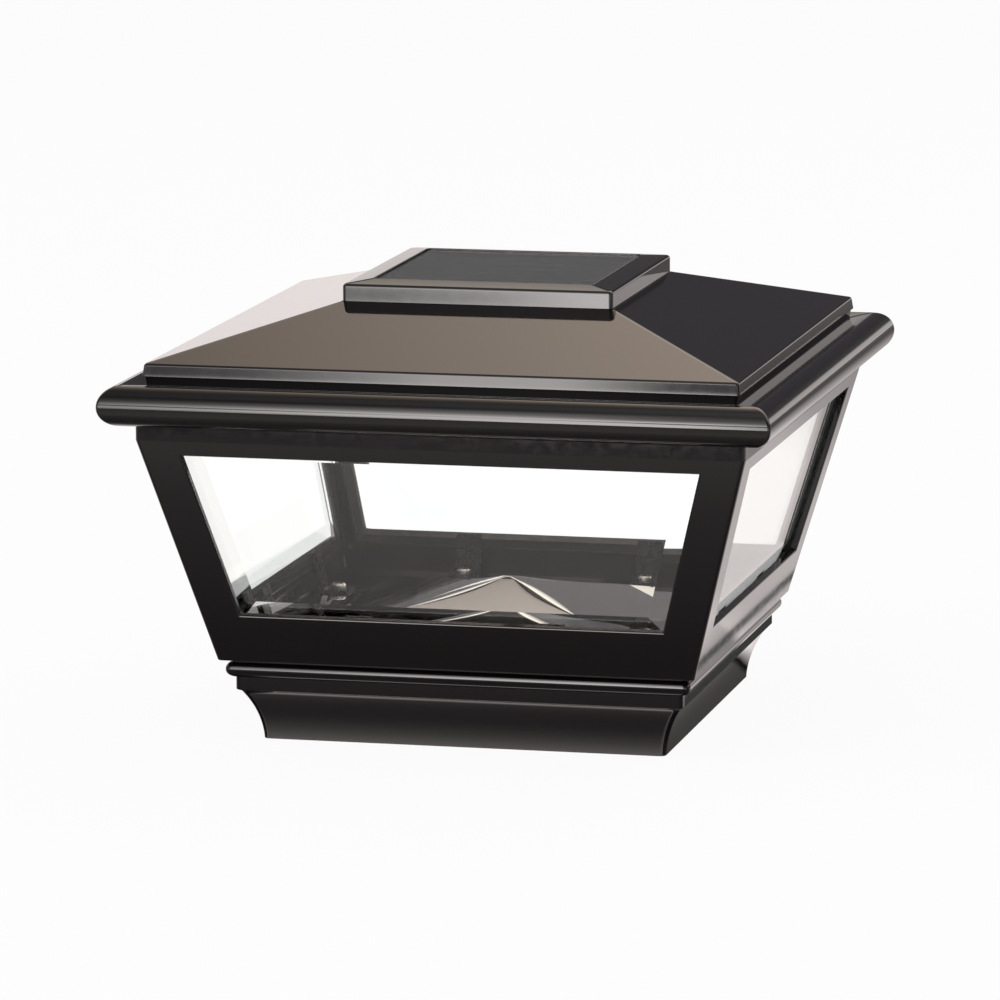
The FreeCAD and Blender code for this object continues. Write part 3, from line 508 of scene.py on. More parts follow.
def square_ring(name, section, corner=None, count=6, closed=True):
    """One section carried round a square. A point's third value rounds its mitre, or else corner."""
    vertices = []
    for point in section:
        radius = corner if corner is not None else point[2]
        vertices += [(x * MM, y * MM, point[1] * MM) for x, y in square_loop(point[0], radius, count)]
    width = 4 * (count + 1)
    faces = []
    rows = len(section) if closed else len(section) - 1
    for row in range(rows):
        below = row * width
        above = (row + 1) % len(section) * width
        for k in range(width):
            after = (k + 1) % width
            faces.append((below + k, below + after, above + after, above + k))
    mesh = bpy.data.meshes.new(name)
    mesh.from_pydata(vertices, [], faces)
    return linked(name, mesh)


def linked(name, mesh):
    """A new piece in the scene."""
    piece = bpy.data.objects.new(name, mesh)
    bpy.context.scene.collection.objects.link(piece)
    return piece


def crisp(piece, degrees=30.0):
    """Clean mesh, normals outwards, smooth but for edges sharper than a limit."""
    work = bmesh.new()
    work.from_mesh(piece.data)
    bmesh.ops.remove_doubles(work, verts=work.verts, dist=SAME_POINT)
    bmesh.ops.dissolve_degenerate(work, edges=work.edges, dist=SAME_POINT)
    bmesh.ops.recalc_face_normals(work, faces=work.faces)
    limit = math.radians(degrees)
    for edge in work.edges:
        edge.smooth = len(edge.link_faces) == 2 and edge.calc_face_angle(0) < limit
    for face in work.faces:
        face.smooth = True
    work.to_mesh(piece.data)
    work.free()
    piece.data.update()
    return piece


def shade_evenly(piece):
    """Keeps broad faces flat beside small rounds."""
    even = piece.modifiers.new("even_shading", "WEIGHTED_NORMAL")
    even.keep_sharp = True
    even.weight = BROAD_FACE_WEIGHT


def joined_mesh(name, solids):
    """One mesh of several closed solids, each given as vertices in millimetres and faces."""
    vertices = []
    faces = []
    for points, sides in solids:
        first = len(vertices)
        vertices += [Vector(point) * MM for point in points]
        faces += [tuple(first + k for k in side) for side in sides]
    mesh = bpy.data.meshes.new(name)
    mesh.from_pydata(vertices, [], faces)
    return linked(name, mesh)


def prism(bottom, top):
    """A closed solid between two outlines with the same number of points."""
    count = len(bottom)
    sides = [tuple(reversed(range(count))), tuple(range(count, 2 * count))]
    for k in range(count):
        after = (k + 1) % count
        sides.append((k, after, count + after, count + k))
    return list(bottom) + list(top), sides


def round_outline(x, y, z, radius, count=24):
    """A level circle's points."""
    turns = [math.tau * k / count for k in range(count)]
    return [(x + radius * math.cos(turn), y + radius * math.sin(turn), z) for turn in turns]


def corners(offset):
    """Four places, one in each quarter of the plan."""
    return [(offset * sx, offset * sy) for sx in (-1, 1) for sy in (-1, 1)]


def carved(piece, solids):
    """Cuts solids out of a piece."""
    cutter = joined_mesh("cutter", solids)
    crisp(cutter)
    cut = piece.modifiers.new("cut", "BOOLEAN")
    cut.operation = "DIFFERENCE"
    cut.solver = "EXACT"
    cut.use_self = True
    cut.object = cutter
    shaped = bpy.data.meshes.new_from_object(piece.evaluated_get(bpy.context.evaluated_depsgraph_get()))
    piece.modifiers.clear()
    piece.data = shaped
    bpy.data.objects.remove(cutter)
    return piece


def turned(solid, quarters):
    """A solid turned about the centre line by quarter turns."""
    points, sides = solid
    for _ in range(quarters % 4):
        points = [(-y, x, z) for x, y, z in points]
    return points, sides


def soften_edges(piece, width, limit=30.0, segments=2):
    """A small round along each edge sharper than a limit, with even shading."""
    bevel = piece.modifiers.new("edge_round", "BEVEL")
    bevel.limit_method = "ANGLE"
    bevel.angle_limit = math.radians(limit)
    bevel.width = width * MM
    bevel.segments = segments
    bevel.use_clamp_overlap = True
    shade_evenly(piece)


def wobble(tree, shader, scale, height, detail=2.0):
    """A very fine unevenness of a surface, in the object's own space."""
    place = tree.nodes.new("ShaderNodeTexCoord")
    noise = tree.nodes.new("ShaderNodeTexNoise")
    noise.inputs["Scale"].default_value = scale
    noise.inputs["Detail"].default_value = detail
    tree.links.new(place.outputs["Object"], noise.inputs["Vector"])
    bump = tree.nodes.new("ShaderNodeBump")
    bump.inputs["Strength"].default_value = 1.0
    bump.inputs["Distance"].default_value = height
    tree.links.new(noise.outputs["Fac"], bump.inputs["Height"])
    tree.links.new(bump.outputs["Normal"], shader.inputs["Normal"])
    return noise


def spread(tree, source, low, high):
    """The middle of a noise, spread between two values."""
    node = tree.nodes.new("ShaderNodeMapRange")
    node.inputs["From Min"].default_value = NOISE_MIDDLE[0]
    node.inputs["From Max"].default_value = NOISE_MIDDLE[1]
    node.inputs["To Min"].default_value = low
    node.inputs["To Max"].default_value = high
    tree.links.new(source, node.inputs["Value"])
    return node.outputs["Result"]


def surface_finish(name, colour, shine, grain, settings=None):
    """A finish: its colour or colour stops, its least and greatest roughness, and its grain.

    The grain is the scale, the height in metres and the detail of a fine unevenness."""
    material, tree, output = new_material(name)
    surface = tree.nodes.new("ShaderNodeBsdfPrincipled")
    noise = wobble(tree, surface, *grain).outputs["Fac"]
    if isinstance(colour, list):
        tree.links.new(ramp(tree, noise, colour), surface.inputs["Base Color"])
    else:
        surface.inputs["Base Color"].default_value = (*colour, 1)
    tree.links.new(spread(tree, noise, *shine), surface.inputs["Roughness"])
    for setting, value in (settings or {}).items():
        surface.inputs[setting].default_value = value
    tree.links.new(surface.outputs[0], output.inputs["Surface"])
    return material


def black_gloss_coat(name, orange_peel):
    """Black gloss powder coat: a hard shine with a faint orange peel under it."""
    return surface_finish(name, COAT_COLOUR, COAT_SHINE, (COAT_GRAIN, orange_peel), {"IOR": COAT_IOR})


def dress(piece, material):
    """Gives a piece its one material."""
    piece.data.materials.clear()
    piece.data.materials.append(material)


def placed(piece, material, slot, body, *replaced):
    """Gives a finished piece its material and its body, and hides the nodes it stands for. The slot is
    not used.
    """
    dress(piece, material)
    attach(piece, body)
    if replaced:
        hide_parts(*replaced)


def skirt_section():
    """Section of the skirt from the foot's edge up the outside, over the deck and back inside."""
    cove_half = FOOT_HALF + COVE_REACH
    hollow = (FOOT_HALF + COVE_REACH / 2 - COVE_HOLLOW, (COVE_FOOT + COVE_TOP) / 2)
    section = [(FOOT_HALF + inset, height) for inset, height in FOOT_EDGE]
    section.append((FOOT_HALF, COVE_FOOT))
    section += arc((FOOT_HALF, COVE_FOOT), hollow, (cove_half, COVE_TOP), CURVE_STEPS)
    section += rounded([
        (cove_half, COVE_TOP),
        (FASCIA_HALF, FASCIA_LOW, EDGE_ROUND),
        (FASCIA_HALF, BEAD_LOW),
    ])[1:]
    crest = (FASCIA_HALF + BEAD_REACH, BEAD_CREST)
    section += arc((FASCIA_HALF, BEAD_LOW), crest, (NECK_HALF, BEAD_TOP), CURVE_STEPS)
    section += [(NECK_HALF, DECK_TOP), (0.0, DECK_TOP), (0.0, SOCKET_DEPTH)]
    section += [(SKIRT_INNER_HALF, SOCKET_DEPTH), (SKIRT_INNER_HALF, COVE_TOP)]
    section += [(SOCKET_HALF, hollow[1]), (SOCKET_HALF, 0.0)]
    return section


def post_ribs():
    """Eight upright ribs inside the skirt, tapered at the foot to lead the post in."""
    ribs = []
    for side in range(4):
        for offset in (-RIB_OFFSET, RIB_OFFSET):
            low = offset - RIB_WIDTH / 2
            high = offset + RIB_WIDTH / 2
            outline = [
                (-SOCKET_HALF, RIB_LEAD),
                (-SKIRT_INNER_HALF - RIB_SINK, COVE_TOP),
                (-SKIRT_INNER_HALF - RIB_SINK, SOCKET_DEPTH + RIB_SINK),
                (-SOCKET_HALF, SOCKET_DEPTH + RIB_SINK),
            ]
            near = [(low, y, z) for y, z in outline]
            far = [(high, y, z) for y, z in outline]
            ribs.append(turned(prism(near, far), side))
    return ribs


def join_into(piece, extra):
    """Adds one piece's mesh to another's."""
    work = bmesh.new()
    work.from_mesh(piece.data)
    work.from_mesh(extra.data)
    work.to_mesh(piece.data)
    work.free()
    bpy.data.objects.remove(extra)


gloss = black_gloss_coat("black_gloss_coat", CASTING_PEEL)
skirt = crisp(square_ring("skirt_casting", skirt_section(), SKIRT_CORNER))
deck_holes = []
for x, y in corners(DECK_SCREW_OFFSET):
    deck_holes.append(prism(
        round_outline(x, y, SOCKET_DEPTH + SINK_DEPTH, DECK_HOLE_RADIUS),
        round_outline(x, y, DECK_TOP + CUT_PAST, DECK_HOLE_RADIUS),
    ))
    deck_holes.append(prism(
        round_outline(x, y, SOCKET_DEPTH - CUT_SPARE, SINK_RADIUS),
        round_outline(x, y, SOCKET_DEPTH + SINK_DEPTH + CUT_SPARE, DECK_HOLE_RADIUS),
    ))
carved(skirt, deck_holes)
ribs = joined_mesh("post_ribs", post_ribs())
join_into(skirt, crisp(ribs))
crisp(skirt)
shade_evenly(skirt)
placed(skirt, gloss, "black_casting", "base", "base_skirt")


# ---------------------------------------------------------------------------
# Lantern frame: one flared aluminium casting with a window in each side, a
# floor, a ledge that the glass stands on and a flange under the roof.
# ---------------------------------------------------------------------------
FRAME_FOOT = 28.0
FRAME_FOOT_HALF = 79.4
FLARE_RISE = 75.3
FLARE_REACH = 20.7
FRAME_TOP = 111.0
FRAME_WALL = 2.5
FRAME_CORNER = 1.6
FLOOR_TOP = 31.0
FLOOR_HOLE_HALF = 30.0
FLOOR_HOLE_CORNER = 6.0
FLANGE_HALF = 92.5
FLANGE_UNDER = 108.5
STILE_WIDTH = 13.7
SILL_RISE = 16.0
HEAD_RISE = 70.5
LEDGE_DEPTH = 4.6
LEDGE_THICKNESS = 2.4
GLASS_FOOT_LAP = 5.6
BOSS_RADIUS = 4.5
BOSS_TOP = 34.4
BOSS_SINK = 0.5
SHOULDER_ROUND = 0.8
WINDOW_ROUND = 0.45
WINDOW_CUT_IN = 0.6
SHARP_ANGLE = 40.0
FLARE = math.atan2(FLARE_REACH, FLARE_RISE)
SILL_STEP = SILL_RISE / math.cos(FLARE)
HEAD_STEP = HEAD_RISE / math.cos(FLARE)
GLASS_FOOT_STEP = SILL_STEP - GLASS_FOOT_LAP


def wall_section(step, depth):
    """Half width and height of a point up the flared wall and in from its outer face."""
    half = FRAME_FOOT_HALF + step * math.sin(FLARE) - depth * math.cos(FLARE)
    return (half, FRAME_FOOT + step * math.cos(FLARE) + depth * math.sin(FLARE))


def wall_half(height):
    """Half width of the wall's inner face at a height."""
    reach = (height - FRAME_FOOT) * FLARE_REACH / FLARE_RISE
    return FRAME_FOOT_HALF + reach - FRAME_WALL / math.cos(FLARE)


def wall_outline(foot_step, head_step, setback, depth):
    """A four-sided outline in the front wall, narrower than it by a setback at each side."""
    points = []
    for side, step in ((-1, foot_step), (1, foot_step), (1, head_step), (-1, head_step)):
        half, height = wall_section(step, depth)
        across = FRAME_FOOT_HALF + step * math.sin(FLARE) - setback
        points.append((side * across, -half, height))
    return points


def frame_section():
    """Section of the frame from its foot up the outside, over the flange and down to the floor."""
    band_half = FRAME_FOOT_HALF + FLARE_REACH
    deep = FRAME_WALL + LEDGE_DEPTH
    under = GLASS_FOOT_STEP - LEDGE_THICKNESS
    points = [
        (FRAME_FOOT_HALF, FRAME_FOOT, EDGE_ROUND),
        (band_half, FRAME_FOOT + FLARE_RISE, SHOULDER_ROUND),
        (band_half, FRAME_TOP, EDGE_ROUND),
        (FLANGE_HALF, FRAME_TOP, EDGE_ROUND),
        (FLANGE_HALF, FLANGE_UNDER, EDGE_ROUND),
        (wall_half(FLANGE_UNDER), FLANGE_UNDER),
        wall_section(GLASS_FOOT_STEP, FRAME_WALL),
        (*wall_section(GLASS_FOOT_STEP, deep), EDGE_ROUND),
        (*wall_section(under, deep), EDGE_ROUND),
        wall_section(under, FRAME_WALL),
        (wall_half(FLOOR_TOP), FLOOR_TOP),
        (FLOOR_HOLE_HALF, FLOOR_TOP, EDGE_ROUND),
        (FLOOR_HOLE_HALF, FRAME_FOOT, EDGE_ROUND),
    ]
    section = []
    for half, height in rounded(points):
        corner = FLOOR_HOLE_CORNER if half < FLOOR_HOLE_HALF + 2 else FRAME_CORNER
        section.append((half, height, corner))
    return section


lantern = crisp(square_ring("lantern_casting", frame_section()))
outside = wall_outline(SILL_STEP, HEAD_STEP, STILE_WIDTH, -CUT_PAST)
inside = wall_outline(SILL_STEP, HEAD_STEP, STILE_WIDTH, FRAME_WALL + WINDOW_CUT_IN)
window = prism(outside, inside)
carved(lantern, [turned(window, side) for side in range(4)])
bosses = []
for x, y in corners(DECK_SCREW_OFFSET):
    foot = round_outline(x, y, FRAME_FOOT + BOSS_SINK, BOSS_RADIUS)
    bosses.append(prism(foot, round_outline(x, y, BOSS_TOP, BOSS_RADIUS)))
join_into(lantern, crisp(joined_mesh("frame_bosses", bosses)))
crisp(lantern)
soften_edges(lantern, WINDOW_ROUND, SHARP_ANGLE)
placed(lantern, gloss, "black_casting", "base", "lantern_frame")


# ---------------------------------------------------------------------------
# Frame screws: countersunk steel screws up through the skirt's deck into the
# frame's bosses, bright zinc plated.
# ---------------------------------------------------------------------------
ZINC_COLOUR = (0.78, 0.78, 0.76)
ZINC_SHINE = (0.18, 0.34)
PLATING_GRAIN = (900.0, 0.000004, 3.0)

zinc = surface_finish("bright_zinc", ZINC_COLOUR, ZINC_SHINE, PLATING_GRAIN, {"Metallic": 1.0})
dress(nodes["frame_screws"], zinc)


# ---------------------------------------------------------------------------
# Glass panes: 5 mm plate glass, flat inside, with a wide bevel ground round
# the outer face. Each pane stands on the ledge and leans on the frame's wall.
# ---------------------------------------------------------------------------
GLASS_THICKNESS = 5.0
GLASS_EDGE = 3.15
BEVEL_WIDTH = 9.8
GLASS_SIDE_LAP = 4.0
GLASS_HEAD_GAP = 0.2
GLASS_ARRIS = 0.3
FLAT_ANGLE = 3.0
GLASS_IOR = 1.52
GLASS_TINT = (0.55, 0.88, 0.76)
GLASS_TINT_DENSITY = 9.0
GLASS_BACK = FRAME_WALL + GLASS_THICKNESS
SIDE_LEAN = math.cos(math.atan(math.sin(FLARE)))


def pane_outline(inset, depth):
    """The pane's outline, drawn in by one distance at all four edges."""
    head = FLANGE_UNDER - GLASS_HEAD_GAP - FRAME_FOOT - GLASS_BACK * math.sin(FLARE)
    setback = STILE_WIDTH - GLASS_SIDE_LAP + inset / SIDE_LEAN
    return wall_outline(GLASS_FOOT_STEP + inset, head / math.cos(FLARE) - inset, setback, depth)


def window_glass():
    """Clear plate glass, faintly green where it is looked at along its thickness."""
    material, tree, output = new_material("window_glass")
    clear = tree.nodes.new("ShaderNodeBsdfPrincipled")
    clear.inputs["Base Color"].default_value = (1, 1, 1, 1)
    clear.inputs["Roughness"].default_value = 0.0
    clear.inputs["IOR"].default_value = GLASS_IOR
    clear.inputs["Transmission Weight"].default_value = 1.0
    tint = tree.nodes.new("ShaderNodeVolumeAbsorption")
    tint.inputs["Color"].default_value = (*GLASS_TINT, 1)
    tint.inputs["Density"].default_value = GLASS_TINT_DENSITY
    tree.links.new(clear.outputs[0], output.inputs["Surface"])
    tree.links.new(tint.outputs[0], output.inputs["Volume"])
    return material


def bevelled_pane():
    """The front pane: its back, its ground edge and the face inside the bevel."""
    back = pane_outline(0, GLASS_BACK)
    edge = pane_outline(0, GLASS_BACK - GLASS_EDGE)
    face = pane_outline(BEVEL_WIDTH, FRAME_WALL)
    sides = [(3, 2, 1, 0), (8, 9, 10, 11)]
    for k in range(4):
        after = (k + 1) % 4
        sides.append((k, after, 4 + after, 4 + k))
        sides.append((4 + k, 4 + after, 8 + after, 8 + k))
    return back + edge + face, sides


clear_glass = window_glass()
for quarters, place in enumerate(("front", "right", "rear", "left")):
    pane = joined_mesh("pane_" + place, [turned(bevelled_pane(), quarters)])
    crisp(pane, FLAT_ANGLE)
    arris = pane.modifiers.new("ground_arris", "BEVEL")
    arris.limit_method = "ANGLE"
    arris.angle_limit = math.radians(SHARP_ANGLE)
    arris.width = GLASS_ARRIS * MM
    arris.segments = 1
    placed(pane, clear_glass, "window_glass", "base", "glass_" + place)


# ---------------------------------------------------------------------------
# Glazing seals: moulded strips of black rubber with a wedge section, pushed in
# between the frame's wall and the bevels of the glass.
# ---------------------------------------------------------------------------
RUBBER_COLOUR = (0.010, 0.017, 0.015)
RUBBER_SHINE = (0.55, 0.8)
RUBBER_GRAIN = (1400.0, 0.000012, 4.0)

rubber = surface_finish("black_rubber", RUBBER_COLOUR, RUBBER_SHINE, RUBBER_GRAIN)
dress(nodes["glazing_seals"], rubber)


# ---------------------------------------------------------------------------
# Reflector: a low four-sided pyramid pressed from polished aluminium sheet.
# The press leaves its hips full in the middle and sharp at their ends.
# ---------------------------------------------------------------------------
SHEET = 0.8
REFLECTOR_HALF = 73.3
PYRAMID_HALF = 58.0
PYRAMID_RISE = 13.6
TIP_HALF = 1.2
HIP_ROUND = 5.0
HIP_STEPS = 24
HIP_FULL_FROM = 0.5
HIP_FULL_TO = 0.98
HIP_SHARPNESS = 0.9
HIP_LEAST = 0.4
RIM_CORNER = 2.0
TIP_RISE = 0.1
SHEET_COLOUR = (0.88, 0.87, 0.85)
SHEET_SHINE = (0.015, 0.04)
SHEET_GRAIN = (55.0, 0.0000030)
PRESSED_ANGLE = 11.0


def reflector_section():
    """Upper side from the flange's rim in to the tip, then the under side back out."""
    flange = FLOOR_TOP + SHEET
    slope = PYRAMID_RISE / (PYRAMID_HALF - TIP_HALF)
    upper = [(REFLECTOR_HALF, flange - SHEET, RIM_CORNER), (REFLECTOR_HALF, flange, RIM_CORNER)]
    for k in range(HIP_STEPS + 1):
        share = k / HIP_STEPS
        half = PYRAMID_HALF + (TIP_HALF - PYRAMID_HALF) * share
        along = min(1.0, max(0.0, (share - HIP_FULL_FROM) / (HIP_FULL_TO - HIP_FULL_FROM)))
        fullness = math.sin(math.pi * along) ** HIP_SHARPNESS
        upper.append((half, flange + (PYRAMID_HALF - half) * slope, HIP_LEAST + HIP_ROUND * fullness))
    upper.append((0.0, flange + PYRAMID_RISE + TIP_RISE, 0.0))
    lower = [(half, height - SHEET, corner) for half, height, corner in reversed(upper[2:])]
    return upper + lower


polished = surface_finish("polished_sheet", SHEET_COLOUR, SHEET_SHINE, SHEET_GRAIN, {"Metallic": 1.0})
reflector = crisp(square_ring("polished_reflector", reflector_section(), count=8), PRESSED_ANGLE)
placed(reflector, polished, "polished_sheet", "base", "reflector_pyramid")


# ---------------------------------------------------------------------------
# Glass clips and their screws: bent spring steel with a smooth black oxide finish,
# a little worn to grey. Two clips hold each pane's foot, and pan-head screws hold
# them down through the reflector.
# ---------------------------------------------------------------------------
OXIDE_COLOURS = [(0.35, (0.011, 0.011, 0.012)), (0.72, (0.016, 0.015, 0.015))]
OXIDE_SHINE = (0.22, 0.34)
OXIDE_GRAIN = (420.0, 0.0000004, 3.0)
CLIP_ROUND = 0.18

dress(nodes["glass_clips"], surface_finish("blackened_steel", OXIDE_COLOURS, OXIDE_SHINE, OXIDE_GRAIN))
soften_edges(nodes["glass_clips"], CLIP_ROUND, SHARP_ANGLE)
dress(nodes["clip_screws"], zinc)


# ---------------------------------------------------------------------------
# Roof: an aluminium casting, hipped, with a fascia over a shadow line, a bullnose
# eave and a flat land for the bezel. It drops over the frame and lifts off by hand.
# ---------------------------------------------------------------------------
LIP_HALF = 100.5
EAVE_FOOT = 108.5
BULLNOSE_HALF = 103.6
BULLNOSE_RADIUS = 6.6
BULLNOSE_CENTRE = EAVE_FOOT + BULLNOSE_RADIUS
LEDGE_TOP = BULLNOSE_CENTRE + BULLNOSE_RADIUS
ROOF_FASCIA_TOP_HALF = 97.5
ROOF_FASCIA_TOP = 127.9
ROOF_FASCIA_FOOT_HALF = 98.1
ROOF_FASCIA_FOOT = 123.8
ROOF_FASCIA_ROUND = 1.0
REVEAL_HEAD_HALF = 97.4
REVEAL_FOOT_HALF = 97.0
REVEAL_FOOT = 120.8
REVEAL_HEAD_ROUND = 0.25
REVEAL_FOOT_ROUND = 0.2
LAND_HALF = 45.7
LAND_TOP = 142.3
LAND_ROUND = 0.5
ROOF_WALL = 3.0
CAVITY_ROUND = 1.0
LEAD_HOLE_HALF = 14.0
SEAT_LEVEL = 112.5
ROOF_CORNER = 1.0
BULLNOSE_STEPS = 28
ROOF_PITCH = (LAND_TOP - ROOF_FASCIA_TOP) / (ROOF_FASCIA_TOP_HALF - LAND_HALF)
ROOF_DROP = ROOF_WALL * math.sqrt(1 + ROOF_PITCH ** 2)


def roof_section():
    """Section of the roof from the eave up the inside, over the land and down the outside."""
    cavity_half = ROOF_FASCIA_TOP_HALF - ROOF_WALL
    cavity_corner = ROOF_FASCIA_TOP - ROOF_DROP + ROOF_WALL * ROOF_PITCH
    land_under = LAND_TOP - ROOF_WALL
    under_half = ROOF_FASCIA_TOP_HALF - (land_under + ROOF_DROP - ROOF_FASCIA_TOP) / ROOF_PITCH
    crown = BULLNOSE_HALF + BULLNOSE_RADIUS
    section = rounded([
        (BULLNOSE_HALF, EAVE_FOOT),
        (LIP_HALF, EAVE_FOOT, EDGE_ROUND),
        (LIP_HALF, SEAT_LEVEL),
        (cavity_half, SEAT_LEVEL, EDGE_ROUND),
        (cavity_half, cavity_corner, CAVITY_ROUND),
        (under_half, land_under, CAVITY_ROUND),
        (LEAD_HOLE_HALF, land_under, EDGE_ROUND),
        (LEAD_HOLE_HALF, LAND_TOP, EDGE_ROUND),
        (LAND_HALF, LAND_TOP, LAND_ROUND),
        (ROOF_FASCIA_TOP_HALF, ROOF_FASCIA_TOP, ROOF_FASCIA_ROUND),
        (ROOF_FASCIA_FOOT_HALF, ROOF_FASCIA_FOOT, REVEAL_HEAD_ROUND),
        (REVEAL_HEAD_HALF, ROOF_FASCIA_FOOT),
        (REVEAL_FOOT_HALF, REVEAL_FOOT, REVEAL_FOOT_ROUND),
        (BULLNOSE_HALF, LEDGE_TOP),
    ])
    head = (BULLNOSE_HALF, LEDGE_TOP)
    foot = (BULLNOSE_HALF, EAVE_FOOT)
    return section + arc(head, (crown, BULLNOSE_CENTRE), foot, BULLNOSE_STEPS)[:-1]


roof = crisp(square_ring("roof_shell", roof_section(), ROOF_CORNER))
shade_evenly(roof)
placed(roof, gloss, "black_casting", "roof", "roof_casting")
dress(nodes["roof_seal"], rubber)


# ---------------------------------------------------------------------------
# Solar bezel: a black gloss moulding with a pocket for the panel, sealed to
# the roof's land by a rubber strip and screwed up from below.
# ---------------------------------------------------------------------------
BEZEL_HALF = 45.2
BEZEL_BROW = 148.05
BEZEL_TOP = 149.05
POCKET_HALF = 36.9
POCKET_FLOOR = 145.3
POCKET_HOLE_HALF = 6.0
BEZEL_ROUND = 1.1
BEZEL_FOOT_ROUND = 0.2
POCKET_ROUND = 0.25
BEZEL_CORNER = 1.3
MOULDING_PEEL = 0.0000005

bezel_points = rounded([
    (BEZEL_HALF, LAND_TOP, BEZEL_FOOT_ROUND),
    (BEZEL_HALF, BEZEL_BROW, BEZEL_ROUND),
    (POCKET_HALF, BEZEL_TOP, POCKET_ROUND),
    (POCKET_HALF, POCKET_FLOOR),
    (POCKET_HOLE_HALF, POCKET_FLOOR),
    (POCKET_HOLE_HALF, LAND_TOP),
], count=5)
bezel = crisp(square_ring("bezel_moulding", bezel_points, BEZEL_CORNER))
shade_evenly(bezel)
moulding = black_gloss_coat("black_gloss_moulding", MOULDING_PEEL)
placed(bezel, moulding, "bezel_plastic", "roof", "solar_bezel")
dress(nodes["bezel_gasket"], rubber)
dress(nodes["bezel_screws"], zinc)


# ---------------------------------------------------------------------------
# Solar panel: six strips of blue-black silicon soldered on a black board, with
# fine silver fingers, under a clear resin face that is cast over them.
# ---------------------------------------------------------------------------
PANEL_HALF = 36.7
PANEL_CORNER = 0.3
CELL_TOP = 147.2
FACE_GAP = 0.05
COVER_TOP = 148.55
COVER_EDGE = 0.4
COVER_ANGLE = 20.0
CELL_COLOURS = [(0.3, (0.003, 0.004, 0.008)), (0.7, (0.007, 0.009, 0.015))]
CELL_MOTTLE = 60.0
CELL_ROUGHNESS = 0.18
CELL_REFLECTION = 0.25
CELL_DETAIL = 3.0
FINGER_COLOUR = (0.30, 0.30, 0.32)
FINGER_SHARE = 0.12
FINGER_STEP = 0.0011  # metres, as the shader measures
FINGER_HALF = 0.00007
RESIN_COLOUR = (0.93, 0.94, 0.96)
RESIN_IOR = 1.5
RESIN_VARIES = 0.3
PANEL_ROUGHNESS = 0.05
RESIN_GRAIN = (120.0, 0.000004)
BOARD_BLACK = (0.010, 0.011, 0.014)
MASK_THIN = 1.35
MASK_SHINE = (0.35, 0.35)
MASK_GRAIN = (500.0, 0.000004)


def silicon():
    """Blue-black silicon, a little mottled, with fine silver fingers across it."""
    material, tree, output = new_material("silicon_cells")
    cell = tree.nodes.new("ShaderNodeBsdfPrincipled")
    cell.inputs["Roughness"].default_value = CELL_ROUGHNESS
    cell.inputs["Specular IOR Level"].default_value = CELL_REFLECTION
    place = tree.nodes.new("ShaderNodeTexCoord")
    noise = tree.nodes.new("ShaderNodeTexNoise")
    noise.inputs["Scale"].default_value = CELL_MOTTLE
    noise.inputs["Detail"].default_value = CELL_DETAIL
    tree.links.new(place.outputs["Object"], noise.inputs["Vector"])
    body = ramp(tree, noise.outputs["Fac"], CELL_COLOURS)
    fingers = maths(tree, "PINGPONG", coordinates(tree, "Object")["X"], FINGER_STEP)
    thin = maths(tree, "LESS_THAN", fingers, FINGER_HALF)
    share = maths(tree, "MULTIPLY", thin, FINGER_SHARE)
    tree.links.new(colour_mix(tree, share, body, FINGER_COLOUR), cell.inputs["Base Color"])
    tree.links.new(cell.outputs[0], output.inputs["Surface"])
    return material


def clear_resin(name, roughness):
    """Clear cast resin with a very faint haze."""
    shine = (roughness * (1 - RESIN_VARIES), roughness * (1 + RESIN_VARIES))
    clear = {"IOR": RESIN_IOR, "Transmission Weight": 1.0}
    return surface_finish(name, RESIN_COLOUR, shine, RESIN_GRAIN, clear)


def solder_mask(name, colour):
    """The lacquer of a circuit board, a little lighter where it is thin."""
    light = tuple(MASK_THIN * value for value in colour)
    return surface_finish(name, [(0.35, colour), (0.65, light)], MASK_SHINE, MASK_GRAIN)


dress(nodes["solar_board"], solder_mask("black_board", BOARD_BLACK))
dress(nodes["solar_cells"], silicon())
cover = crisp(square_ring("panel_face", [
    (0.0, CELL_TOP + FACE_GAP), (PANEL_HALF, CELL_TOP + FACE_GAP),
    (PANEL_HALF, COVER_TOP - COVER_EDGE), (PANEL_HALF - COVER_EDGE, COVER_TOP), (0.0, COVER_TOP),
], PANEL_CORNER, count=3, closed=False), COVER_ANGLE)
placed(cover, clear_resin("panel_resin", PANEL_ROUGHNESS), "clear_cover", "roof", "solar_cover")


# ---------------------------------------------------------------------------
# Ceiling plate: an ivory plastic moulding screwed up under the roof, with the
# battery bay, the board's posts and a hole for the lens.
# ---------------------------------------------------------------------------
IVORY_COLOUR = (0.82, 0.74, 0.68)
SATIN_SHINE = (0.4, 0.55)
MOULD_GRAIN = (1800.0, 0.000006, 3.0)
PLATE_ROUND = 0.2
PLATE_ANGLE = 60.0

ivory_plastic = surface_finish("ivory_moulding", IVORY_COLOUR, SATIN_SHINE, MOULD_GRAIN)
dress(nodes["ceiling_plate"], ivory_plastic)
soften_edges(nodes["ceiling_plate"], PLATE_ROUND, PLATE_ANGLE)
dress(nodes["ceiling_screws"], zinc)


# ---------------------------------------------------------------------------
# Lens and lamps: a clear cup on a flange, over four lamps on the board's under
# side, each a white package with a yellow phosphor window.
# ---------------------------------------------------------------------------
PACKAGE_WHITE = (0.86, 0.85, 0.80)
PHOSPHOR_YELLOW = (0.85, 0.60, 0.08)
PHOSPHOR_RISE = 0.0003  # metres, as the shader measures
PACKAGE_ROUGHNESS = 0.35
LENS_ROUGHNESS = 0.08


